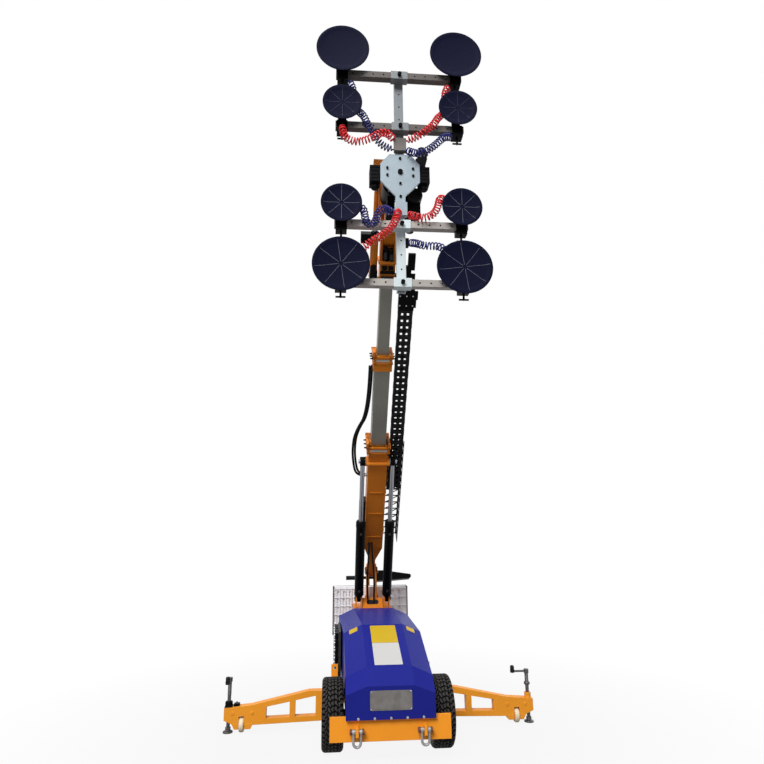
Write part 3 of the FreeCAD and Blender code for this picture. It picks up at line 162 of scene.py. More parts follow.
sheet.materials.append(floor_finish)
floor = linked("floor", sheet)

# Chassis: a welded steel frame with its bumper, painted orange, a black drive axle and bright pins. One group
# gives every finish slow clouds, fine specks, a mask along edges, where finishes turn lighter as wear and as
# a painted highlight, the height above the floor, used for painted shade high up, and a rounded, slightly
# rough normal.
# Painted shade: a finish with an upper colour darkens towards it between these heights above the floor.
SHADE_ABOVE_FROM, SHADE_ABOVE_TO, SHADE_ABOVE_SHARE = 3.05, 3.45, 0.85
skin = bpy.data.node_groups.new("skin", "ShaderNodeTree")
for label, value in (("Scale", 5.0), ("Bump", 0.05), ("Radius", 0.003)):
    skin.interface.new_socket(label, in_out="INPUT", socket_type="NodeSocketFloat").default_value = value
for label, kind in (("Cloud", "Float"), ("Speck", "Float"), ("Edge", "Float"), ("Height", "Float"),
                    ("Normal", "Vector")):
    skin.interface.new_socket(label, in_out="OUTPUT", socket_type="NodeSocket" + kind)
given, made = skin.nodes.new("NodeGroupInput"), skin.nodes.new("NodeGroupOutput")
where = add(skin, "ShaderNodeTexCoord")
cloud = add(skin, "ShaderNodeTexNoise", {"Vector": where.outputs["Object"], "Scale": given.outputs["Scale"],
                                         "Detail": 5.0})
height = add(skin, "ShaderNodeSeparateXYZ", {0: where.outputs["Object"]})
finer = add(skin, "ShaderNodeMath", {0: given.outputs["Scale"], 1: 40.0}, operation="MULTIPLY")
speck = add(skin, "ShaderNodeTexNoise", {"Vector": where.outputs["Object"], "Scale": finer, "Detail": 3.0})
rounded = add(skin, "ShaderNodeBevel", {"Radius": given.outputs["Radius"]}, samples=4)
true_face = add(skin, "ShaderNodeNewGeometry")
alike = add(skin, "ShaderNodeVectorMath", {0: rounded, 1: true_face.outputs["Normal"]},
            operation="DOT_PRODUCT")
# Edge mask: finishes lighten along edges, partly as wear and partly as a painted highlight.
edge = add(skin, "ShaderNodeMapRange", {"Value": alike.outputs["Value"], "From Min": 0.98, "From Max": 0.75})
edge_wear_and_highlight = add(skin, "ShaderNodeMath", {0: edge, 1: cloud}, operation="MULTIPLY")
rough_normal = add(skin, "ShaderNodeBump", {"Strength": given.outputs["Bump"], "Distance": 0.001,
                                            "Height": speck, "Normal": rounded})
for label, source in (("Cloud", cloud.outputs[0]), ("Speck", speck.outputs[0]), ("Edge", edge_wear_and_highlight.outputs[0]),
                      ("Height", height.outputs["Z"]), ("Normal", rough_normal.outputs[0])):
    skin.links.new(source, made.inputs[label])


def tint(red, green, blue):
    """A screen colour from 0 to 255 as the light it stands for."""
    shares = (c / 255 for c in (red, green, blue))
    return tuple(((c + 0.055) / 1.055) ** 2.4 if c > 0.04 else c / 12.92 for c in shares) + (1.0,)


def coat(name, colour, shade, rough, metal=0.0, wear_and_highlight=None, scale=5.0, bump=0.05, radius=0.003, shine=0.25,
         upper=None):
    """A finish: a colour clouded with a second one, lighter along edges as wear and as a painted highlight,
    with uneven gloss and fine bumps. Where an upper colour is given, it darkens to it high above the floor, a
    painted shade."""
    finish = bpy.data.materials.new(name)
    finish.use_nodes = True
    tree = finish.node_tree
    shader = tree.nodes["Principled BSDF"]
    shader.inputs["Metallic"].default_value = metal
    shader.inputs["Specular IOR Level"].default_value = shine
    detail = add(tree, "ShaderNodeGroup", {"Scale": scale, "Bump": bump, "Radius": radius}, node_tree=skin)
    mixed = blended(tree, detail.outputs["Cloud"], tint(*colour), tint(*shade))
    # Painted shade: the colour darkens towards the upper one high above the floor.
    if upper:
        rise = add(tree, "ShaderNodeMapRange", {"Value": detail.outputs["Height"], "From Min": SHADE_ABOVE_FROM,
                                                "From Max": SHADE_ABOVE_TO, "To Max": SHADE_ABOVE_SHARE})
        mixed = blended(tree, rise, mixed, tint(*upper))
    # Edges turn to the lighter colour: wear, and a painted highlight.
    mixed = blended(tree, detail.outputs["Edge"], mixed, tint(*(wear_and_highlight or shade)))
    gloss = add(tree, "ShaderNodeMapRange", {"Value": detail.outputs["Speck"], "From Min": 0.3,
                                             "From Max": 0.7, "To Min": rough - 0.05, "To Max": rough + 0.08})
    tree.links.new(mixed, shader.inputs["Base Color"])
    tree.links.new(gloss.outputs[0], shader.inputs["Roughness"])
    tree.links.new(detail.outputs["Normal"], shader.inputs["Normal"])
    return finish


def dress(finish, *names):
    """Gives CAD nodes a finish."""
    for name in names:
        nodes[name].data.materials.clear()
        nodes[name].data.materials.append(finish)


orange = coat("orange_paint", (214, 126, 34), (198, 110, 26), 0.4, wear_and_highlight=(230, 162, 70), shine=0.15)
black = coat("black_paint", (7, 7, 8), (12, 12, 13), 0.38, wear_and_highlight=(30, 30, 32), shine=0.04)
# A lighter copy of the orange paint for the chassis frame: painted light on the bumper.
lit_orange = coat("chassis_paint_lit", (246, 156, 40), (234, 144, 34), 0.4, wear_and_highlight=(250, 186, 88), shine=0.2)
steel = coat("bright_steel", (176, 178, 182), (140, 142, 146), 0.34, metal=1.0, wear_and_highlight=(220, 222, 224),
             scale=9.0)
dress(lit_orange, "chassis_frame")
dress(black, "drive_axle")
dress(steel, "pins_and_screws")

# Front wheels: moulded turf tyres with wavy grooves, slanted cuts and open shoulders, on dished rims of
# painted steel with a black cap pressed over each hub and five bolts.
TYRE, WHEEL_X, TREAD_DEEP, WAVES, SWAY, RIB = 205.0, 336.0, 8.0, 40, 8.0, 20
TYRE_AROUND, TYRE_ACROSS, GROOVES, GROOVE_HALF, BOLT_RING = 464, 96, (-30, -10, 10, 30), 2.4, 70
CUT_SHARE, NOTCH_SHARE, TREAD_HALF, NOTCH_IN, NOTCH_OUT, NOTCH_LOW = 0.24, 0.34, 46, 43, 65.5, 186
TYRE_SECTION = [(0, 110, -50), (0.06, 150, -64), (0.12, 185, -66), (0.17, 197, -60), (0.20, 203, -52),
                (0.23, 205, -44), (0.77, 205, 44), (0.80, 203, 52), (0.83, 197, 60), (0.88, 185, 66),
                (0.94, 150, 64), (0.98, 110, 50)]
tyre_rubber = coat("tyre_rubber", (46, 45, 44), (58, 56, 53), 0.62, bump=0.12, scale=12.0, radius=0.0008,
                   shine=0.12)
# The grooves' rubber is darker than the tread's: painted shade in the grooves.
shaded_groove_rubber = coat("shaded_groove_rubber", (12, 12, 12), (17, 17, 17), 0.7, scale=12.0, radius=0.0008, shine=0.04)
pale_grey = coat("light_grey", (222, 222, 222), (206, 206, 206), 0.45, wear_and_highlight=(236, 236, 236), scale=3.0)
dress(pale_grey, "left_rim", "right_rim")


def piece(name, parts, body, finishes, place=spot, bevel=0.0):
    """One object of several (points in mm, faces, finish number) parts, riding on a body."""
    points, faces, kinds, start = [], [], [], 0
    for some_points, some_faces, kind in parts:
        points += place(some_points).reshape(-1, 3).tolist()
        faces += [[corner + start for corner in face] for face in some_faces]
        kinds += np.broadcast_to(kind, len(some_faces)).tolist()
        start = len(points)
    mesh = bpy.data.meshes.new(name)
    mesh.from_pydata(points, [], faces)
    mesh.polygons.foreach_set("material_index", kinds)
    mesh.polygons.foreach_set("use_smooth", [True] * len(faces))
    shell = bmesh.new()
    shell.from_mesh(mesh)
    bmesh.ops.recalc_face_normals(shell, faces=shell.faces)
    shell.to_mesh(mesh)
    shell.free()
    mesh.set_sharp_from_angle(angle=math.radians(32))
    for finish in finishes:
        mesh.materials.append(finish)
    thing = linked(name, mesh)
    if bevel:
        rounding = thing.modifiers.new("rounding", "BEVEL")
        rounding.width = bevel / 1000
        rounding.segments = 2
    if body:
        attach(thing, body)
    return thing


def joined(rings, corners, around, along):
    """Four-cornered faces from each ring of points to the next, for so many rings and corners of each."""
    pairs = [(i * corners, (i + 1) % rings * corners, j, (j + 1) % corners)
             for i in range(around) for j in range(along)]
    return [[here + j, here + after, following + after, following + j] for here, following, j, after in pairs]


def turned(profile, axis, centre, steps=32, kind=0):
    """A closed turned form: an outline of (radius, height) from axis to axis, swept round x, y or z."""
    profile = np.array(profile, dtype=float)
    count = len(profile)
    angle = 2 * math.pi * np.arange(steps) / steps
    around = profile[None, :, 0] * np.cos(angle)[:, None], profile[None, :, 0] * np.sin(angle)[:, None]
    height = np.broadcast_to(profile[None, :, 1], around[0].shape)
    order = {"x": (height, *around), "y": (around[0], height, around[1]), "z": (*around, height)}[axis]
    points = np.stack(order, axis=-1).reshape(-1, 3) + centre
    ends = [[i * count + j for i in range(steps)] for j in (0, count - 1)]
    return points, joined(steps, count, steps, count - 1) + ends, kind


def rod(radius, low, high):
    """The outline of a plain rod from one height to another."""
    return [(0, low), (radius, low), (radius, high), (0, high)]


def outward(sign, outline, at, steps=32, kind=0):
    """A turned form on the left or right side, its heights counted outwards from a place on that side."""
    outline = [(radius, sign * height) for radius, height in outline]
    return turned(outline, "x", (sign * at[0], *at[1:]), steps, kind)


def ring(radius, count, first):
    """Even places on a circle, as level and upward steps, the first at an angle in degrees."""
    turns = [math.radians(first + 360 / count * k) for k in range(count)]
    return [(radius * math.cos(turn), radius * math.sin(turn)) for turn in turns]


def tyre(middle):
    """The tyre's closed skin: its section swept round the axle, less the tread's depth where a zigzag groove,
    a slanted cut between two grooves or a notch of the shoulder passes. Sunk faces get the second, darker
    finish, a painted shade in the grooves."""
    share, radius, height = (np.array(column, dtype=float) for column in zip(*TYRE_SECTION))
    i, j = np.meshgrid(np.arange(TYRE_AROUND), np.arange(TYRE_ACROSS), indexing="ij")
    u, v = i / TYRE_AROUND, j / TYRE_ACROSS
    reach, h = np.interp(v, share, radius), np.interp(v, share, height)
    wave = u * WAVES
    sway = SWAY * (np.abs(2 * (wave % 1) - 1) - 0.5)
    grooved = np.zeros_like(u)
    for groove in GROOVES:
        grooved = np.where(np.abs(h - groove - sway) < GROOVE_HALF, 1.0, grooved)
    band = np.floor((h - sway + 50) / RIB)
    slanted = (wave + 0.5 * band + 0.02 * h * np.where(band % 2 == 0, 1, -1)) % 1
    grooved = np.where((slanted < CUT_SHARE) & (np.abs(h) < TREAD_HALF), np.maximum(grooved, 0.8), grooved)
    shoulder = (np.abs(h) > NOTCH_IN) & (np.abs(h) < NOTCH_OUT) & (reach > NOTCH_LOW)
    grooved = np.where(shoulder & ((wave + 0.25 * np.sign(h)) % 1 < NOTCH_SHARE), 0.9, grooved)
    reach = reach - TREAD_DEEP * grooved
    angle = 2 * math.pi * u
    points = np.stack([middle + h, reach * np.cos(angle), TYRE + reach * np.sin(angle)], axis=-1)
    faces = joined(TYRE_AROUND, TYRE_ACROSS, TYRE_AROUND, TYRE_ACROSS)
    sunk = grooved.reshape(-1)[faces].sum(axis=1) > 1.4
    return points.reshape(-1, 3), faces, sunk.astype(int)


SIDES = (("left", -1), ("right", 1))
for side, sign in SIDES:
    made = piece(f"{side}_turf_tyre", [tyre(sign * WHEEL_X)], f"{side}_wheel",
                 [tyre_rubber, shaded_groove_rubber])
    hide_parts(f"{side}_tyre")
    parts = [outward(sign, [(0, 35), (34, 35), (34, 40), (28, 47), (0, 50)], (WHEEL_X, 0, TYRE), kind=1)]
    parts += [outward(sign, [(0, 21), (8, 21), (8, 27), (5, 30), (0, 30)], (WHEEL_X, along, TYRE + up), 6)
              for along, up in ring(BOLT_RING, 5, 36)]
    piece(f"{side}_wheel_bolts", parts, f"{side}_wheel", [steel, black], bevel=0.6)

# Shackles: forged and galvanised bows that hang from lugs on the bumper. The pin's head and its nut are left
# bare and have gone brown with rust.
SHACKLE_X, SHACKLE_Y, SHACKLE_Z = 197, -306, 190
zinc = coat("galvanised", (164, 163, 162), (132, 131, 131), 0.45, metal=0.6, wear_and_highlight=(206, 208, 210), scale=16.0,
            bump=0.08)
rust = coat("rusty_steel", (122, 70, 44), (88, 52, 36), 0.6, metal=0.3, scale=30.0, bump=0.2, radius=0.001)
dress(zinc, "left_shackle", "right_shackle")
head = [(0, -43), (13, -43), (15.6, -41), (15.6, -29.5), (0, -29.5)]
nut = [(0, 29.5), (16, 29.5), (16, 40), (13, 42), (0, 42)]
for side, sign in SIDES:
    pin = sign * SHACKLE_X, SHACKLE_Y, SHACKLE_Z
    piece(f"{side}_shackle_nuts", [turned(head, "x", pin), turned(nut, "x", pin, 6)], f"{side}_shackle",
          [rust])

# Outriggers: welded beams with windows, hinged on the chassis, a cream castor between two cheeks and a steel
# jack screw with a moulded crank grip on each, a black latch on the left and a round nut on the right.
OUTRIGGER_Y, BEAM_HALF, JACK_X, CRANK = 401, 30.4, 1030, 100
THREAD_LOW, THREAD_TURNS, THREAD_PITCH = 228, 20, 4
INNER_CHEEK = [(862, 58), (880, 24), (921, 24), (921, 62)]
OUTER_CHEEK = [(959, 62), (959, 24), (986, 24), (1006, 60)]
pale_orange = coat("outrigger_paint", (232, 152, 44), (222, 140, 36), 0.4, wear_and_highlight=(246, 184, 80), shine=0.15)
dark_steel = coat("dark_steel", (96, 95, 96), (70, 69, 70), 0.36, metal=0.7, wear_and_highlight=(150, 150, 152), scale=9.0)
cream = coat("cream_plastic", (230, 214, 186), (214, 196, 166), 0.45, scale=14.0)
plastic = coat("black_plastic", (18, 18, 20), (27, 28, 30), 0.5, bump=0.15, scale=9.0, shine=0.12)
dress(pale_orange, "left_outrigger", "right_outrigger")
dress(cream, "left_castor", "right_castor")
dress(dark_steel, "left_jack_screw", "right_jack_screw", "left_jack_foot", "right_jack_foot")


def block(corner, other, kind=0):
    """A straight-sided block between two opposite corners."""
    ends = list(zip(np.minimum(corner, other), np.maximum(corner, other)))
    points = [(x, y, z) for x in ends[0] for y in ends[1] for z in ends[2]]
    faces = [[0, 1, 3, 2], [4, 6, 7, 5], [0, 4, 5, 1], [2, 3, 7, 6], [0, 2, 6, 4], [1, 5, 7, 3]]
    return np.array(points, dtype=float), faces, kind


def prism(points, kind=0):
    """A straight form between two outlines of as many points, the first half of the points and the second."""
    count = len(points) // 2
    ends = [list(range(count)), list(range(count, 2 * count))]
    return np.array(points, dtype=float), ends + joined(2, count, 1, count), kind


def slab(corners, plane, low, high):
    """A flat bar as thick as low to high: its corners give x and height for the plane across the machine, or
    depth and height for the plane beside it."""
    if plane == "across":
        return prism([(x, thick, reach) for thick in (low, high) for x, reach in corners])
    return prism([(thick, across, reach) for thick in (low, high) for across, reach in corners])


thread = [(0, THREAD_LOW)]
for k in range(THREAD_TURNS):
    start = THREAD_LOW + THREAD_PITCH * k
    thread += [(12.2, start), (13.2, start + THREAD_PITCH / 2)]
thread_top = THREAD_LOW + THREAD_PITCH * THREAD_TURNS
thread += [(12.2, thread_top), (0, thread_top)]
grip = [(0, 317), (14, 317), (15.5, 330), (13.5, 344), (14.5, 356), (10, 363), (0, 364)]
washer = [(0, -33), (11, -33), (12, -30), (12, -28), (0, -28)]
for side, sign, grip_at in (("left", -1, (-JACK_X, OUTRIGGER_Y - CRANK, 0)),
                            ("right", 1, (JACK_X - CRANK, OUTRIGGER_Y, 0))):
    piece(f"{side}_jack_thread", [turned(thread, "z", (sign * JACK_X, OUTRIGGER_Y, 0)),
                                  turned(grip, "z", grip_at, kind=1)],
          f"{side}_jack_screw", [dark_steel, plastic])
for side, sign in SIDES:
    parts = [slab([(sign * x, z) for x, z in outline], "across", OUTRIGGER_Y - BEAM_HALF,
                  OUTRIGGER_Y + BEAM_HALF) for outline in (INNER_CHEEK, OUTER_CHEEK)]
    parts += [turned(washer, "y", (sign * x, OUTRIGGER_Y, 122), 24) for x in (872, 1000)]
    piece(f"{side}_castor_cheeks", parts, f"{side}_outrigger", [pale_orange], bevel=1.5)
collar = [(13.4, 150), (25, 150), (25, 186), (21, 192), (13.4, 192)]
parts = [block((-1055, OUTRIGGER_Y - 27, 150), (-1003, OUTRIGGER_Y + 27, 166)),
         turned(collar, "z", (-JACK_X, OUTRIGGER_Y, 0)),
         block((-996, OUTRIGGER_Y - 17, 154), (-958, OUTRIGGER_Y + 17, 178)),
         turned([(0, 176), (8, 176), (8, 186), (0, 188)], "z", (-977, OUTRIGGER_Y, 0), 6, 1)]
piece("left_jack_latch", parts, "left_outrigger", [black, dark_steel], bevel=1.5)
nut = [(0, 236), (16, 236), (21, 243), (21, 251), (16, 258), (0, 258)]
piece("right_jack_nut", [turned(nut, "z", (JACK_X, OUTRIGGER_Y, 0))], "right_jack_screw", [dark_steel])

# Bonnet: a folded blue sheet with pressed louvres and side screws. A riveted badge on its nose, a placard in
# two colours on its slope and a small one on each shoulder stay blank, with no words.
NOSE_Y, BADGE_RISE, PLACARD_HALF = -300, 295, 86
blue = coat("blue_paint", (33, 39, 132), (29, 34, 118), 0.36, wear_and_highlight=(54, 62, 150), scale=2.5, bump=0.02,
            shine=0.03)
yellow = coat("yellow_placard", (192, 160, 26), (184, 152, 22), 0.45, radius=0.001)
white_sheet = coat("white_placard", (192, 191, 189), (182, 181, 179), 0.45, radius=0.001)
badge_metal = coat("badge_metal", (136, 132, 129), (86, 83, 81), 0.42, metal=0.5, scale=26.0, radius=0.001)
dress(blue, "bonnet")


def plate(corner, across, along, thick, kind=0, rounded=6.0):
    """A thin plate from a corner along two edges, standing out by its thickness, with rounded corners."""
    corner, across, along = (np.array(a, dtype=float) for a in (corner, across, along))
    out = np.cross(across, along)
    out = out / np.linalg.norm(out) * thick
    wide, long = np.linalg.norm(across), np.linalg.norm(along)
    rim = []
    for x, y, first in ((wide - rounded, rounded, -90), (wide - rounded, long - rounded, 0),
                        (rounded, long - rounded, 90), (rounded, rounded, 180)):
        rim += [corner + across * ((x + level) / wide) + along * ((y + up) / long)
                for level, up in ring(rounded, 16, first)[:5]]
    return prism(np.concatenate([rim, np.array(rim) + out]), kind)


def on_slope(x, y):
    """A point of the bonnet's long top slope, which rises 0.32 mm with each mm to the rear."""
    return np.array([x, y, 510 + 0.32 * (y + 200)])


def on_shoulder(sign, y, share):
    """A point of the bonnet's side slope, from its shoulder line to its top line."""
    u = (y + 200) / 500
    low, high = np.array([262 + 2 * u, 455 + 163 * u]), np.array([137 + 3 * u, 510 + 160 * u])
    x, z = low + (high - low) * share
    return np.array([sign * x, y, z])


def bonnet_side(y):
    """Half the bonnet's width behind its slope, which grows evenly to the rear."""
    return 264 + 22 * (y - 300) / 912


def louvre(near, far, low):
    """A pressed louvre on the bonnet's right side: flush along its top, standing out along its lower edge."""
    return prism([(bonnet_side(y) + out, y, low + up) for y in (near, far)
                  for out, up in ((-1, 0), (8, 3), (-1, 30))])


badge = [plate((-122, NOSE_Y, BADGE_RISE), (246, 0, 0), (0, 0, 106), 2, rounded=12),
         plate((-115, NOSE_Y - 2, BADGE_RISE + 7), (232, 0, 0), (0, 0, 92), 1, rounded=9)]
badge += [turned([(0, 0), (4, 0), (3.4, -2), (0, -3)], "y", (x, NOSE_Y - 2, BADGE_RISE + rise), 12, 1)
          for x in (-116, 118) for rise in (6, 100)]
piece("nose_badge", badge, "chassis", [badge_metal, steel])
for name, low, high, finish, slot in (("slope_placard_white", -188, 60, white_sheet, "cream_plastic"),
                                      ("slope_placard_yellow", 62, 282, yellow, "orange_paint")):
    upwards = on_slope(0, high) - on_slope(0, low)
    piece(name, [plate(on_slope(-PLACARD_HALF, low), (2 * PLACARD_HALF, 0, 0), upwards, 1)], "chassis",
          [finish])
for side, sign, y, share in (("left", -1, 248, 0.30), ("right", 1, 240, 0.36)):
    corner = on_shoulder(sign, y, share)
    inwards = on_shoulder(sign, y, share + 0.44) - corner
    rearwards = on_shoulder(sign, y + 52, share) - corner
    edges = (inwards, rearwards) if sign < 0 else (rearwards, inwards)
    piece(f"{side}_shoulder_placard", [plate(corner, *edges, 1, rounded=4)], "chassis", [yellow])
vents = [louvre(start, start + 150, 340 + 44 * k) for start in (560, 740) for k in range(5)]
vents += [outward(sign, [(0, -1), (7, -1), (6, 2.8), (0, 4)], (bonnet_side(y), y, 264), 16, 1)
          for sign in (-1, 1) for y in (960, 1170)]
piece("bonnet_louvres", vents, "chassis", [blue, steel], bevel=0.8)

# Tower: a welded orange column with its deck and uprights. Bolted black caps close the boom's pivot, smaller
# ones with grease nipples the cylinder feet, and a moulded boot fills the deck's slot round the hoses.
PIVOT, LIFT_FOOT = np.array([0.0, 1430.0, 945.0]), np.array([0.0, 1255.0, 732.0])
FOOT_CAP_X, BOOT_Y, BOOT_LOW, DECK_RISE = 146, 1216, 653, 78 / 70
dress(orange, "boom_tower")
foot_cap = [(0, 0), (19, 0), (19, 6), (15, 9), (0, 9)]
nipple = [(0, 0), (4, 0), (4, 7), (2.4, 9), (2.4, 12), (0, 13)]
caps = []
for sign in (-1, 1):
    caps.append(outward(sign, [(0, 43.2), (34, 43.2), (34, 50), (29, 54), (0, 57)], PIVOT))
    caps += [outward(sign, rod(4.5, 51, 59), PIVOT + (0, along, up), 6, 1)
             for along, up in ring(22, 3, 90)]
    caps.append(outward(sign, foot_cap, LIFT_FOOT + (FOOT_CAP_X, 0, 0), 24))
    caps.append(outward(sign, nipple, LIFT_FOOT + (FOOT_CAP_X + 9, 0, 0), 12, 1))
piece("pivot_caps", caps, "chassis", [black, steel])
points, faces, kind = plate((-51, 1244, 630), (102, 0, 0), (0, 30, 0), 40, rounded=14.9)
upper_rim = points[len(points) // 2:]
upper_rim[:, 2] = BOOT_LOW + (upper_rim[:, 1] - BOOT_Y) * DECK_RISE
piece("slot_boot", [(points, faces, kind)], "chassis", [plastic])

# Rear housing: a pale sheet box with slats and screws on its back, and a dark frame and a mesh of thin bars
# over its front. A bank of solenoid valves on a back plate stands beside the bonnet on the left.
GRILLE_IN, GRILLE_OUT, GRILLE_LOW, GRILLE_TOP, GRILLE_Y, GRILLE_BACK = 110, 337, 398, 798, 1555, 1682
HOUSING_BACK, RACK_X = 1679, -321
housing_grey = coat("housing_paint", (228, 228, 233), (212, 212, 218), 0.45, wear_and_highlight=(236, 236, 240), scale=3.0)
case = coat("battery_case", (40, 40, 42), (52, 52, 54), 0.5, bump=0.1, shine=0.15)
dress(housing_grey, "rear_housing")
grille = []
for sign in (-1, 1):
    for k in range(5):
        x = sign * (GRILLE_IN + 8 + 52 * k)
        grille.append(block((x - 4, GRILLE_Y + 2, GRILLE_LOW + 6), (x + 4, GRILLE_Y + 10, GRILLE_TOP - 6)))
    for k in range(6):
        z = GRILLE_LOW + 22 + 72 * k
        grille.append(block((sign * GRILLE_IN, GRILLE_Y + 4, z - 4), (sign * 331, GRILLE_Y + 9, z + 4)))
    for z in (GRILLE_LOW, GRILLE_TOP - 10):
        grille.append(block((sign * 325, GRILLE_Y, z), (sign * GRILLE_OUT, GRILLE_BACK, z + 10), 1))
    grille.append(block((sign * 327, GRILLE_Y, GRILLE_LOW),
                        (sign * GRILLE_OUT, GRILLE_Y + 12, GRILLE_TOP), 1))
grille.append(block((-GRILLE_OUT, GRILLE_BACK - 10, GRILLE_TOP - 10),
                    (GRILLE_OUT, GRILLE_BACK, GRILLE_TOP), 1))
for k in range(8):
    z = 450 + 40 * k
    grille.append(block((-296, HOUSING_BACK, z), (296, HOUSING_BACK + 8, z + 16)))
screw = [(0, 0), (8, 0), (8, 5), (5, 8), (0, 8)]
grille += [turned(screw, "y", (x, HOUSING_BACK, z), 16, 1) for x in (-316, 316) for z in (430, 600, 770)]
piece("housing_grille", grille, "chassis", [housing_grey, case], bevel=1.0)
coil_cap = [(0, 0), (11, 0), (11, -8), (7, -11), (0, -11)]
rack = [block((-296, 470, 286), (-280, 900, 600), 1)]
for column in range(4):
    for row in range(6):
        y, z = 500 + 108 * column, 300 + 50 * row
        rack.append(block((RACK_X - 1, y, z), (-294, y + 76, z + 36)))
        rack.append(turned(coil_cap, "x", (RACK_X, y + 22, z + 18), 8, 2))
        rack.append(turned(rod(7, 0, -9), "x", (RACK_X, y + 54, z + 18), 6, 2))
piece("side_valve_rack", rack, "chassis", [black, case, steel], bevel=1.0)

# Battery pack, hydraulic unit and steering: dark cases on the chassis, a black fork with twin rear wheels on
# pale bolted hubs, and a black tiller with a ribbed grip on its left and knobs on its right.
STEER_Y, REAR_WHEEL, HUB_X, HUB_BOLTS = 1470, 110, 83, 44
TILLER_FOOT, TILLER_LEAN, HANDLE = (0, 1765, 225), math.radians(-14), 640
dress(case, "battery_pack")
dress(black, "steering_fork", "hydraulic_unit", "tiller")
dress(cream, "rear_wheels")
hub = [(0, -1), (62, -1), (62, 3), (52, 5), (34, 5), (30, 8), (17, 8), (13, 11), (0, 11)]
bolt = [(0, 3), (5, 3), (5, 8), (0, 9)]
hubs = []
for sign in (-1, 1):
    hubs.append(outward(sign, hub, (HUB_X, STEER_Y, REAR_WHEEL)))
    hubs += [outward(sign, bolt, (HUB_X, STEER_Y + along, REAR_WHEEL + up), 6, 1)
             for along, up in ring(HUB_BOLTS, 6, 0)]
piece("rear_wheel_hubs", hubs, "rear_axle", [pale_grey, steel], bevel=0.6)


def leaning(foot, lean):
    """A function that turns points, in mm sideways, across and along an axis that leans forwards from a foot,
    into metres of the frame: across and along are turned by the lean, and the foot is added."""
    def place(points):
        x, across, reach = np.moveaxis(np.asarray(points, dtype=float), -1, 0)
        y = across * math.cos(lean) - reach * math.sin(lean)
        z = across * math.sin(lean) + reach * math.cos(lean)
        return spot(np.stack([x, y, z], axis=-1) + foot)
    return place


on_tiller = leaning(TILLER_FOOT, TILLER_LEAN)
grips = [turned([(0, x), (19.2, x), (20, x + 3), (20, x + 6), (19.2, x + 9), (0, x + 9)], "x", (0, 0, HANDLE))
         for x in range(-208, -98, 13)]
grips.append(plate((84, 41, 622), (0, 0, 62), (170, 0, 0), 3, 1))
knob = [(0, 43), (8, 43), (8, 50), (5, 58), (9, 66), (9, 74), (0, 76)]
grips += [turned(knob, "y", (106 + 42 * k, 0, 653), 20) for k in range(4)]
piece("tiller_controls", grips, "tiller", [plastic, case], on_tiller)

# Boom: an orange base section and collars of welded sheet, with flanges, side bolts and pale slide pads in
# their windows, and grey middle and top sections that slide out. Places along it are sideways from its
# middle, square to it towards the rear, and up from its pivot.
LEAN, BASE_END, MIDDLE_END, TOP_END = math.radians(39.7), 1355, 2050, 2630
grey = coat("grey_steel", (132, 131, 122), (104, 103, 95), 0.42, metal=0.35, wear_and_highlight=(170, 170, 164), scale=4.0)
pad = coat("slide_pad", (206, 204, 196), (186, 184, 174), 0.5, scale=20.0)
dress(orange, "boom_base", "middle_collar")
dress(grey, "boom_middle", "boom_top")
on_boom = leaning(PIVOT, LEAN)
bolt = [(0, 0), (9, 0), (9, 9), (6, 12), (6, 24), (0, 25)]
for name, body, wide, deep, end, room_x, room_y in (
        ("base_collar_flanges", "boom", 75, 95, BASE_END, 57, 76),
        ("middle_collar_flanges", "middle", 56, 75, MIDDLE_END + 60, 43, 58)):
    parts = []
    for low, high, out in ((end - 14, end, 20), (end - 62, end - 52, 17)):
        for sign in (-1, 1):
            parts.append(block((-wide - out, sign * room_y, low), (wide + out, sign * (deep + out), high)))
            parts.append(block((sign * room_x, -deep - out, low), (sign * (wide + out), deep + out, high)))
    parts.append(block((-wide + 8, -deep - 13.5, end - 44), (wide - 8, -deep - 11, end - 24), 1))
    parts.append(block((-wide - 20, -deep - 20, end), (-wide - 4, -deep + 60, end + 34)))
    parts += [outward(sign, bolt, (wide + 11.5, across, end - 34), 6, 2)
              for sign in (-1, 1) for across in (-deep * 0.6, 0, deep * 0.6)]
    piece(name, parts, body, [orange, pad, black], on_boom, bevel=1.0)

# Lift cylinders: black welded barrels with a gland ring and hose ports, and chromed rods. Round black covers
# with a bright pin head are fixed over the rods' upper eyes.
LIFT_X, LIFT_EYE = 118, np.array([0.0, -66.0, 1200.0])
chrome = coat("chrome", (140, 142, 146), (116, 118, 122), 0.2, metal=1.0, bump=0.01)
dress(black, "lift_barrels")
dress(chrome, "lift_rods")
eye_up = on_boom(LIFT_EYE) * 1000 - (0, AXLE, 0) - LIFT_FOOT
lift_reach = float(np.linalg.norm(eye_up))
on_lift = leaning(LIFT_FOOT, math.atan2(-eye_up[1], eye_up[2]))
gland = [(18.6, 690), (40.5, 690), (40.5, 726), (36, 738), (18.6, 738)]
cover = [(0, -20.6), (35, -20.6), (35.6, -18), (35.6, 18), (35, 20.6), (0, 20.6)]
glands, covers = [], []
for sign in (-1, 1):
    middle = (sign * LIFT_X, 0, 0)
    glands.append(turned(gland, "z", middle))
    glands.append(turned([(18.6, 738), (23, 738), (23, 744), (18.6, 746)], "z", middle, 32, 1))
    glands.append(turned([(20, 44), (40, 44), (40, 74), (20, 74)], "z", middle))
    glands += [turned(rod(9, -50, -30), "y", (sign * LIFT_X, 0, reach), 12, 1) for reach in (100, 640)]
    covers.append(turned(cover, "x", (sign * LIFT_X, 0, lift_reach)))
    covers.append(outward(sign, [(0, 20), (17, 20), (17, 33), (0, 34)], (LIFT_X, 0, lift_reach), 24, 1))
piece("cylinder_glands", glands, "lift_barrels", [black, case], on_lift, bevel=0.8)
piece("eye_covers", covers, "lift_rods", [black, steel], on_lift, bevel=0.8)
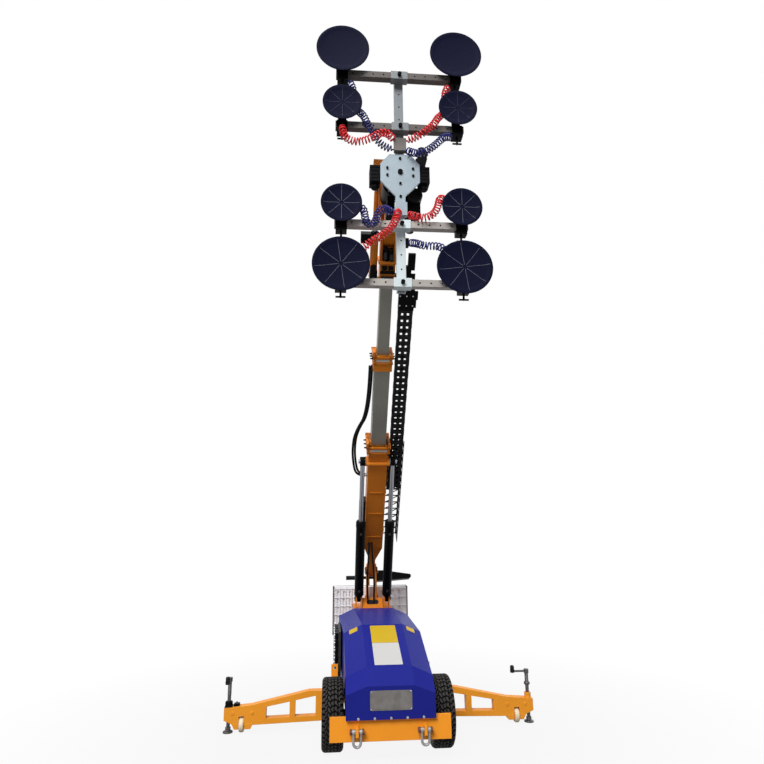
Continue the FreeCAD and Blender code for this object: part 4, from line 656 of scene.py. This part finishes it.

# Energy chain: moulded links of plates and crossbars with windows between, in a fixed run, a bend and a
# moving run that rides on the top section. A tray with three-cornered holes, welded to the boom's side,
# carries them, and a bolted bracket with small valve blocks holds their upper end.
LINK, LINK_DEEP, CHAIN_TURN, CHAIN_FIXED, CHAIN_TIP = 50, 30, 900, 1340, 2600
CHAIN_FRONT, CHAIN_BACK, BEND_MIDDLE, BEND_INNER, BEND_OUTER = 6, 84, 60, 24, 54
STRIPS = ((96, 121), (138, 162), (179, 204))
BARS_FROM, BARS_TO, BAR_THICK = STRIPS[0][1] - 3, STRIPS[2][0] + 3, 4
TRAY_LOW, TRAY_BAY = 320, 68
chain_plastic = coat("chain_plastic", (16, 16, 18), (24, 25, 27), 0.45, bump=0.12, scale=9.0, radius=0.001,
                     shine=0.12)
parts = [block((88, 78, TRAY_LOW), (92, 118, CHAIN_FIXED))]
for plane, near, far, low, high in (("across", 88, 212, 114, 118), ("beside", 2, 118, 208, 212)):
    bars = [[(edge, TRAY_LOW), (edge + 10, TRAY_LOW), (edge + 10, CHAIN_FIXED), (edge, CHAIN_FIXED)]
            for edge in (near, far - 10)]
    for start in range(TRAY_LOW, CHAIN_FIXED, TRAY_BAY):
        end = start + TRAY_BAY
        bars.append([(near, start), (far, start), (far, start + 9), (near, start + 9)])
        bars.append([(near, start), (near + 14, start), (far, end), (far - 14, end)])
    parts += [slab(bar, plane, low, high) for bar in bars]
parts += [block((75, 20, reach), (92, 95, reach + 30)) for reach in (420, 820, 1180)]
made = piece("tray_lattice", parts, "boom", [black], on_boom)
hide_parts("chain_tray")


def run(front, low, high):
    """A straight run of links: three plates each, every other one narrower, and two crossbars."""
    parts = []
    for k in range(int((high - low) // LINK)):
        start = low + k * LINK
        for n, (near, far) in enumerate(STRIPS):
            inset = 1.2 if (k + n) % 2 else 0.0
            parts.append(block((near + inset, front + inset, start - 2),
                               (far - inset, front + LINK_DEEP - inset, start + LINK - 2)))
        for across in (front, front + LINK_DEEP - BAR_THICK):
            parts.append(block((BARS_FROM, across, start + 9), (BARS_TO, across + BAR_THICK, start + 33)))
    return parts


def bend_bar(near, far, inner, outer, first, last, steps):
    """A bar bent round the chain's turn, from one angle to another: a ring of four corners at each step."""
    rings = []
    for k in range(steps + 1):
        turn = math.radians(first + (last - first) * k / steps)
        for x, radius in ((near, inner), (near, outer), (far, outer), (far, inner)):
            rings.append((x, BEND_MIDDLE + radius * math.cos(turn), CHAIN_TURN + radius * math.sin(turn)))
    ends = [[start + j for j in range(4)] for start in (0, 4 * steps)]
    return np.array(rings), joined(steps + 1, 4, steps, 4) + ends, 0


def blocks(level, *spans):
    """Blocks given by both ends along x, across and up from a level, and a finish if not the first."""
    return [block((x, near, level + low), (far_x, far, level + high), *kind)
            for x, far_x, near, far, low, high, *kind in spans]


made = piece("fixed_links", run(CHAIN_BACK, CHAIN_TURN, CHAIN_FIXED), None, [chain_plastic],
             on_boom)
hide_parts("chain_fixed_run")
ends = [on_boom((150, CHAIN_BACK + 15, reach)).tolist() for reach in (CHAIN_FIXED, CHAIN_TURN)]
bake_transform(made)
parts = [bend_bar(near, far, BEND_INNER, BEND_OUTER, 180, 360, 24) for near, far in STRIPS]
for k in range(4):
    middle = 202.5 + 45 * k
    parts += [bend_bar(BARS_FROM, BARS_TO, inner, inner + BAR_THICK, middle - 8, middle + 8, 4)
              for inner in (BEND_INNER, BEND_OUTER - BAR_THICK)]
made = piece("bend_links", parts, "chain_turn", [chain_plastic], on_boom)
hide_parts("chain_bend")
parts = run(CHAIN_FRONT, CHAIN_TURN, CHAIN_TIP)
made = piece("moving_links", parts, "top", [chain_plastic], on_boom)
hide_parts("chain_moving_run")
up_boom = on_boom((0, 0, 1)) - on_boom((0, 0, 0))
on_boom((131, CHAIN_FRONT, CHAIN_TIP)).tolist()
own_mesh(made)
bracket = blocks(CHAIN_TIP, (95, 206, 36, 44, -60, 30), (52, 206, 36, 44, 30, 90), (52, 64, -20, 36, 40, 90),
                 (95, 206, -6, 36, -44, 30), (70, 160, 6, 30, 26, 96), (95, 206, -4, 44, -168, -40),
                 (170, 222, 4, 34, -150, -62), (196, 232, 8, 30, -92, -30), (128, 172, 2, 40, -40, 150),
                 (146, 196, 6, 36, 120, 236))
bracket += [turned(rod(6, -12, -4), "y", (x, 0, CHAIN_TIP + rise), 6, 1)
            for x in (104, 150, 194) for rise in (-130, -60, 14)]
piece("chain_end_bracket", bracket, "top", [black, steel], on_boom, bevel=1.5)

# Valve box and hydraulic hoses: a black moulded box, and rubber hoses with bright fittings. Two run from the
# deck's slot to the boom's underside, and two loop from the base section's left side up the middle section.
TOWER_HOSE_Y, TOWER_HOSE, BOOM_HOSE = 1259, 0.016, 0.018
BOOM_HOSE_ROUTE = ((-75, 1010), (-137, 1010), (-165, 1140), (-173, 1280), (-155, 1420), (-62, 1600),
                   (-62, 1990))
hose_rubber = coat("hose_rubber", (15, 15, 16), (24, 24, 25), 0.5, bump=0.1, scale=12.0, radius=0.0008,
                   shine=0.12)
dress(plastic, "valve_box")


def drawn(name, points, fine):
    """A smooth curve that control points pull along from the first to the last, in so many steps for each."""
    line = bpy.data.curves.new(name, "CURVE")
    line.dimensions = "3D"
    line.resolution_u = fine
    spline = line.splines.new("NURBS")
    spline.points.add(len(points) - 1)
    for knot, at in zip(spline.points, points):
        knot.co = (*at, 1.0)
    spline.order_u = 3
    spline.use_endpoint_u = True
    return line


def route_line(points):
    """The points of a smooth curve along control points, in their own unit."""
    line = drawn("route", points, 24)
    holder = bpy.data.objects.new("route", line)
    mesh = bpy.data.meshes.new_from_object(holder)
    found = np.array([vertex.co for vertex in mesh.vertices])
    bpy.data.objects.remove(holder)
    bpy.data.curves.remove(line)
    bpy.data.meshes.remove(mesh)
    return found


def carried(line, hint):
    """The way ahead at each point of a line, and two ways square to it that turn as little as they can."""
    ahead = np.gradient(line, axis=0)
    ahead = ahead / np.linalg.norm(ahead, axis=1)[:, None]
    sideways = [np.cross(ahead[0], hint)]
    for way in ahead:
        level = sideways[-1] - way * np.dot(sideways[-1], way)
        sideways.append(level / np.linalg.norm(level))
    return ahead, np.array(sideways[1:]), np.cross(ahead, sideways[1:])


def tube(line, radius, sides=14):
    """A round tube along a line of points, closed at both ends, with a ring square to each point."""
    ahead, sideways, other = carried(line, (0.3, 0.2, 0.9))
    rings = [at + level * along + upward * up for at, level, upward in zip(line, sideways, other)
             for along, up in ring(radius, sides, 0)]
    ends = [[start + j for j in range(sides)] for start in (0, (len(line) - 1) * sides)]
    return np.array(rings), joined(len(line), sides, len(line) - 1, sides) + ends, 0


def laid_hose(name, points, diameter, node, start, end):
    """A hydraulic hose along control points in metres, in place of a CAD node. Its start and end are not
    used.
    """
    line = route_line(points)
    made = piece(name, [tube(line, diameter / 2)], None, [hose_rubber], np.asarray)
    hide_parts(node)
    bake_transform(made)


for side, low, bulge, high in (("left", -28, -54, -40), ("right", 0, 22, -18)):
    points = [*spot([(low, TOWER_HOSE_Y, 597), (bulge, TOWER_HOSE_Y, 787)]),
              *on_boom([(high, -155, 400), (high, -95, 400)])]
    laid_hose(f"{side}_tower_hose", points, TOWER_HOSE, "tower_hoses",
              spot((low, TOWER_HOSE_Y, 730)), points[3])
for side, across, aside in (("front", 16, -26), ("rear", 32, -7)):
    points = on_boom([(x + aside, across, reach) for x, reach in BOOM_HOSE_ROUTE])
    laid_hose(f"{side}_boom_hose", points, BOOM_HOSE, "boom_hoses",
              on_boom((0, across, 1140)), on_boom((0, across, 1700)))
fittings = [turned([(0, 0), (13, 0), (13, 14), (10, 16), (10, 34), (0, 34)], "x", (-109, across, 1010), 6)
            for across in (16, 32)]
piece("boom_hose_fittings", fittings, "boom", [steel], on_boom)

# Boom tip and tilt actuator: a welded orange fork with a bank of valves and their black coils screwed to its
# underside, and an orange actuator with a white band, a black motor and a sleeve round its rod.
HEAD_Z, TILT_X, TILT_FROM, TILT_RISE = 3243.03, -96, (-30, 2660), (-740, 160)
dress(orange, "boom_tip", "tilt_knuckle", "pan_yoke", "tilt_barrel")
dress(chrome, "tilt_rod")
cap = [(0, -120), (9, -120), (10, -116), (10, -108), (0, -108)]
valves = blocks(TOP_END, (-46, 46, -84, -70, 18, 66, 1))
for x in (-29, -1, 27):
    valves += blocks(TOP_END, (x - 11, x + 11, -108, -84, 24, 58))
    valves.append(turned(cap, "y", (x, 0, TOP_END + 41), 20, 1))
valves += blocks(TOP_END, (-50, 50, -78, -70, 84, 104), (-40, -6, -92, -70, 112, 138),
                 (4, 38, -92, -70, 112, 138))
valves += [turned(rod(6, -75, -70), "y", (x, 0, TOP_END + 12), 6, 1) for x in (-40, 40)]
valves += blocks(TOP_END, (-35, -3, -58, 30, 166, 246), (3, 35, -66, 30, 166, 236),
                 (-30, -10, -72, -58, 180, 226, 1), (10, 30, -80, -66, 176, 216, 1),
                 (-54, 54, 30, 44, 166, 270, 2))
piece("tip_valves", valves, "top", [black, case, orange], on_boom, bevel=1.2)
tilt_foot = on_boom((TILT_X, *TILT_FROM)) * 1000 - (0, AXLE, 0)
tilt_up = np.array([TILT_X, TILT_RISE[0], HEAD_Z + TILT_RISE[1]]) - tilt_foot
tilt_reach = float(np.linalg.norm(tilt_up))
on_tilt = leaning(tilt_foot, math.atan2(-tilt_up[1], tilt_up[2]))
parts = [turned(rod(31, 19, 30), "z", (0, 0, 0), 32, 1),
         turned(rod(27, 76, 92), "z", (0, 0, 0), 32, 1),
         block((-26, -62, 22), (26, -24, 70)),
         block((-92, -30, 262), (-20, 30, 326)),
         turned([(0, 22), (21, 22), (21, 112), (16, 120), (0, 120)], "z", (-4, -50, 0), 28),
         turned([(13, 318), (28, 318), (28, 332), (22, 338), (13, 338)], "z", (0, 0, 0))]
piece("tilt_motor", parts, "tilt_barrel", [black, white_sheet], on_tilt, bevel=0.8)
sleeve = [(12.4, 366), (16.5, 366), (17.5, 370), (17.5, tilt_reach - 30), (15, tilt_reach - 24),
          (12.4, tilt_reach - 24)]
piece("tilt_rod_sleeve", [turned(sleeve, "z", (0, 0, 0))], "tilt_rod", [orange], on_tilt)

# Rotator and mount plate: a black slewing drive with bolts round its flange, a motor and a round cover on its
# right and an orange box on its left, and the eight-sided galvanised plate that is bolted to the spine.
DRIVE_BOLTS = 76
plate_zinc = coat("plate_zinc", (154, 167, 175), (138, 150, 158), 0.42, metal=0.3, wear_and_highlight=(186, 194, 200),
                  scale=16.0, bump=0.08, shine=0.15)
dress(black, "rotator_drive")
dress(plate_zinc, "mount_plate")
cover = [(0, -1052), (38, -1052), (45, -1044), (45, -900), (0, -900)]
parts = [turned(rod(6, -1046, -1040), "y", (along, 0, HEAD_Z + up), 6)
         for along, up in ring(DRIVE_BOLTS, 12, 15)]
parts.append(turned([(0, 0), (22, 0), (22, 60), (17, 68), (0, 68)], "z", (75, -950, HEAD_Z - 258), 28, 1))
parts += blocks(HEAD_Z, (36, 114, -1008, -900, -200, -190, 1))
parts.append(turned(cover, "y", (96, 0, HEAD_Z - 72), 32, 1))
parts += blocks(HEAD_Z, (-138, -50, -1030, -958, 54, 160, 2), (-118, -66, -1036, -1030, 84, 146, 2))
piece("rotator_bolts", parts, "pan", [steel, plastic, orange], bevel=0.6)

# Suction frame: a spine and bars of galvanised square tube, darker high up as painted shade, with adjusting
# holes drawn as thin black discs, whose black is painted shade, a blank band under the plate's tail and black
# clamps. The moulded vacuum units with their filters are bolted beside the plate.
SPINE_BACK, SPINE_FRONT, UNIT_X, FILTER_X = -1094, -1142, 138, 131
ROWS = {"top": (3977, 130, 150), "upper": (3620, 112, 110), "lower": (3000, 95, 110),
        "bottom": (2650, 82, 150)}
# The bars and the spine darken high up, round and above the head: painted shade.
bar_zinc = coat("bar_zinc", (178, 172, 167), (146, 140, 136), 0.5, metal=0.15, wear_and_highlight=(196, 192, 190),
                scale=16.0, bump=0.08, shine=0.15, upper=(70, 66, 65))
spine_zinc = coat("spine_zinc", (202, 213, 215), (186, 196, 199), 0.42, metal=0.2, wear_and_highlight=(220, 226, 230),
                  scale=16.0, shine=0.15, upper=(104, 106, 110))
unit_black = coat("unit_plastic", (10, 10, 13), (16, 16, 20), 0.5, bump=0.15, scale=9.0, shine=0.05)
band = coat("blue_band", (34, 40, 118), (28, 33, 100), 0.4, scale=12.0, radius=0.001)
dress(spine_zinc, "frame_spine")
dress(bar_zinc, "crossbars")
dress(black, "frame_fasteners", "cup_carriers")
# The adjusting holes are thin black discs on the spine's face: their black is painted shade of the tube's
# inside.
hole_shade_discs = [turned(rod(4.5, 0, -0.6), "y", (0, SPINE_FRONT, z), 16)
         for z in range(2580, 3860, 84) if not HEAD_Z - 290 < z < HEAD_Z + 215
         and not any(abs(z - height + drop) < 40 for height, drop, edge in ROWS.values())]
piece("spine_hole_shade", hole_shade_discs, "frame", [black])
parts = blocks(HEAD_Z, (-25, 25, SPINE_FRONT - 1, SPINE_BACK + 1, -306, -294))
piece("spine_band", parts, "frame", [band], bevel=0.6)
parts = []
for sign in (-1, 1):
    parts += blocks(HEAD_Z, (sign * 108, sign * 168, SPINE_FRONT + 2, SPINE_BACK + 34, -52, 48),
                    (sign * 24, sign * 110, SPINE_BACK - 12, SPINE_BACK, -20, 20, 1))
    parts.append(turned([(0, -80), (18, -80), (22, -74), (22, -52), (0, -52)], "z",
                        (sign * UNIT_X, SPINE_FRONT + 42, HEAD_Z), 28))
    for rise in (-34, -12, 10, 32):
        parts += blocks(HEAD_Z, (sign * UNIT_X - 24, sign * UNIT_X + 24, SPINE_FRONT - 0.5, SPINE_FRONT + 2,
                                 rise, rise + 9))
parts += blocks(HEAD_Z, (92, 146, SPINE_FRONT + 8, SPINE_BACK + 30, 40, 104),
                (104, 158, SPINE_FRONT + 14, SPINE_BACK + 24, 104, 132))
filter_outline = [(0, 132), (25, 132), (27, 138), (27, 176), (22, 186), (12, 190), (0, 190)]
parts += [turned(filter_outline, "z", (FILTER_X, SPINE_FRONT + 40, HEAD_Z), 28),
          turned([(0, -30), (13, -30), (13, 34), (10, 38), (0, 38)], "x",
                 (FILTER_X, SPINE_FRONT + 40, HEAD_Z + 158), 20)]
parts += blocks(HEAD_Z, (-34, 34, SPINE_FRONT - 30, SPINE_FRONT, 125, 205, 2),
                (-34, 34, SPINE_FRONT - 30, SPINE_FRONT, -275, -195, 1),
                (24, 44, SPINE_FRONT + 6, SPINE_BACK - 6, -435, -391))
made = piece("vacuum_unit_cases", parts, "frame", [unit_black, plate_zinc, bar_zinc],
             bevel=1.5)
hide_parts("vacuum_units")

# Suction cups: moulded pads of dark navy rubber with a thin lip and turned hubs behind, which swivel on their
# carriers. Eight fine raised lines cross each face but those of the top row, and on the upper row they are
# coloured near the navy as a painted shade.
CUP_X, CUP_FACE, LINE_HALF, LINES_FROM = 325, -1230, 1.1, 7.875
navy = coat("cup_rubber", (10, 12, 34), (15, 17, 40), 0.6, bump=0.12, scale=10.0, radius=0.001, shine=0.04)
grey_line = coat("cup_line", (92, 95, 106), (70, 74, 85), 0.6, scale=20.0, radius=0.0005)
# The upper row's lines: near the pads' navy, a painted shade.
shaded_line = coat("cup_line_in_painted_shade", (26, 28, 46), (22, 24, 42), 0.6, scale=20.0, radius=0.0005)
for row, (height, drop, edge) in ROWS.items():
    outline = [(0, 6), (edge - 36, 6), (edge - 24, 3.2), (edge - 14, 0.4), (edge - 8, 0), (edge, 0),
               (edge, 4), (edge - 5, 11), (edge - 12, 18), (edge - 17, 25), (edge - 24, 30), (60, 30),
               (56, 33), (36, 34), (34, 36), (30, 50), (13, 50), (13, 29), (0, 29)]
    finishes = [navy, shaded_line if row == "upper" else grey_line]
    for side, sign in SIDES:
        centre = np.array([sign * CUP_X, CUP_FACE, height], dtype=float)
        parts = [turned(outline, "y", centre, 96)]
        for level, up in ring(1, 8 if row != "top" else 0, LINES_FROM if edge > 120 else 0):
            out, beside = np.array([level, 0, up]), np.array([-up, 0, level]) * LINE_HALF
            for near, far, sunk, rise in ((12, edge - 36, 6, 0), (edge - 37, edge - 14, 6, -5.6)):
                corner = centre + out * near - beside + (0, sunk, 0)
                parts.append(plate(corner, out * (far - near) + (0, rise, 0), 2 * beside, 0.8, 1, 0.6))
        made = piece(f"{row}_{side}_pad", parts, f"{row}_{side}_cup", finishes)
        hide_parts(f"{row}_{side}_cup")

# Coiled vacuum hoses: plastic tube wound into springs, from the cups' carriers to the manifolds. Their points
# are given inwards of the cup's middle, forwards of the bar and above the cup, and then outwards of the
# spine, forwards of it and above the port.
TUBE, COIL, COIL_PITCH, FADE, BAR_MID = 7.5, 18.5, 17.5, 0.05, -1167
STEPS, MEAN, SPARE, BEND_SHARE = 16, 33, 24, 0.5
UPPER, LOWER = HEAD_Z + 165, HEAD_Z - 235
DOWN_BEHIND = [(30, 0, -165), (60, 6, -200), (63, 9, -300), (70, 8, -350), (96, 22, -390), (116, 38, -418)]
HOSES = [
    ("blue", "top", -1, DOWN_BEHIND + [(140, 40, -475), (172, 24, -525)],
     UPPER, [(118, 26, 4), (80, 17, -18), (34, 15, -28)]),
    ("red", "top", 1, DOWN_BEHIND + [(135, 41, -458), (185, 38, -507)], UPPER, [(90, 40, 40), (34, 15, 28)]),
    ("red", "upper", -1, [(5, 23, -138), (3, 41, -152), (5, 43, -185), (24, 43, -222), (84, 43, -243),
                          (155, 43, -215), (215, 43, -172)], UPPER, [(68, 55, 47), (34, 15, 28)]),
    ("blue", "upper", 1, [(30, 0, -150), (52, 18, -162), (84, 41, -182), (128, 43, -232), (180, 43, -276)],
     UPPER, [(100, 64, -80), (64, 45, -62), (34, 15, -28)]),
    ("blue", "lower", -1, [(24, -13, -5), (62, -4, 2), (100, 14, 0), (121, 38, -26), (126, 42, -85),
                           (155, 43, -138), (184, 42, -92), (196, 41, -40), (226, 34, -10)],
     LOWER, [(62, 30, -18), (34, 15, -28)]),
    ("red", "lower", 1, [(24, -13, 12), (52, -8, 52), (92, 4, 82), (118, 30, 60), (130, 38, 0),
                         (160, 42, -48), (214, 43, -70)], LOWER, [(66, 58, -58), (34, 15, -28)]),
    ("red", "bottom", -1, [(24, -13, 10), (62, -10, 62), (98, 0, 100), (128, 24, 118), (167, 40, 142),
                           (217, 43, 172), (262, 44, 212)],
     LOWER, [(40, 70, -103), (24, 66, -58), (14, 30, -12)]),
    ("blue", "bottom", 1, [(24, -13, 10), (52, -10, 62), (80, -2, 106), (106, 16, 126), (143, 35, 126),
                           (205, 38, 122)], LOWER, [(84, 40, -212), (64, 6, -190), (44, -24, -178)]),
]
hose_finish = {"red": coat("red_hose", (226, 46, 50), (204, 32, 40), 0.35, bump=0.02, radius=0.0005),
               "blue": coat("blue_hose", (34, 38, 122), (26, 30, 100), 0.35, bump=0.02, radius=0.0005)}


def smoothed(values):
    """The running mean of values over about two turns, with the end values carried on past both ends."""
    padded = np.pad(values, SPARE, mode="edge")
    return np.convolve(padded, np.ones(MEAN) / MEAN, mode="same")[SPARE:-SPARE]


def curled(line):
    """Points of a helix about a line in mm: even turns, whose reach fades in at both ends and stays below
    half of the line's own bend radius."""
    long = np.concatenate([[0], np.cumsum(np.linalg.norm(np.diff(line, axis=0), axis=1))])
    turns = int(long[-1] / COIL_PITCH)
    share = np.linspace(0, 1, STEPS * turns + 1)
    axis = np.stack([np.interp(share * long[-1], long, line[:, k]) for k in range(3)], axis=-1)
    ahead, sideways, other = carried(axis, (0.3, 0.2, 1.0))
    turning = np.linalg.norm(np.gradient(ahead, axis=0), axis=1) / (long[-1] / (STEPS * turns))
    reach = smoothed(np.minimum(COIL, BEND_SHARE / np.maximum(smoothed(turning), 1e-6)))
    fade = np.clip(np.minimum(share, 1 - share) / FADE, 0, 1)
    reach = reach * fade * fade * (3 - 2 * fade)
    turn = 2 * math.pi * turns * share[:, None]
    return axis + reach[:, None] * (sideways * np.cos(turn) + other * np.sin(turn))


for colour, row, sign, by_cup, port, by_port in HOSES:
    points = [(sign * (CUP_X - x), BAR_MID - y, ROWS[row][0] + z) for x, y, z in by_cup]
    points += [(sign * x, SPINE_FRONT - y, port + z) for x, y, z in by_port]
    coil = spot(curled(route_line(points)))
    line = drawn(f"{colour}_{row}_hose", coil, 2)
    line.bevel_depth = TUBE / 2000
    line.bevel_resolution = 2
    line.use_fill_caps = True
    line.materials.append(hose_finish[colour])
    made = linked(f"{colour}_{row}_hose", line)
    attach(made, "frame")
    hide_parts(f"{colour}_hoses")
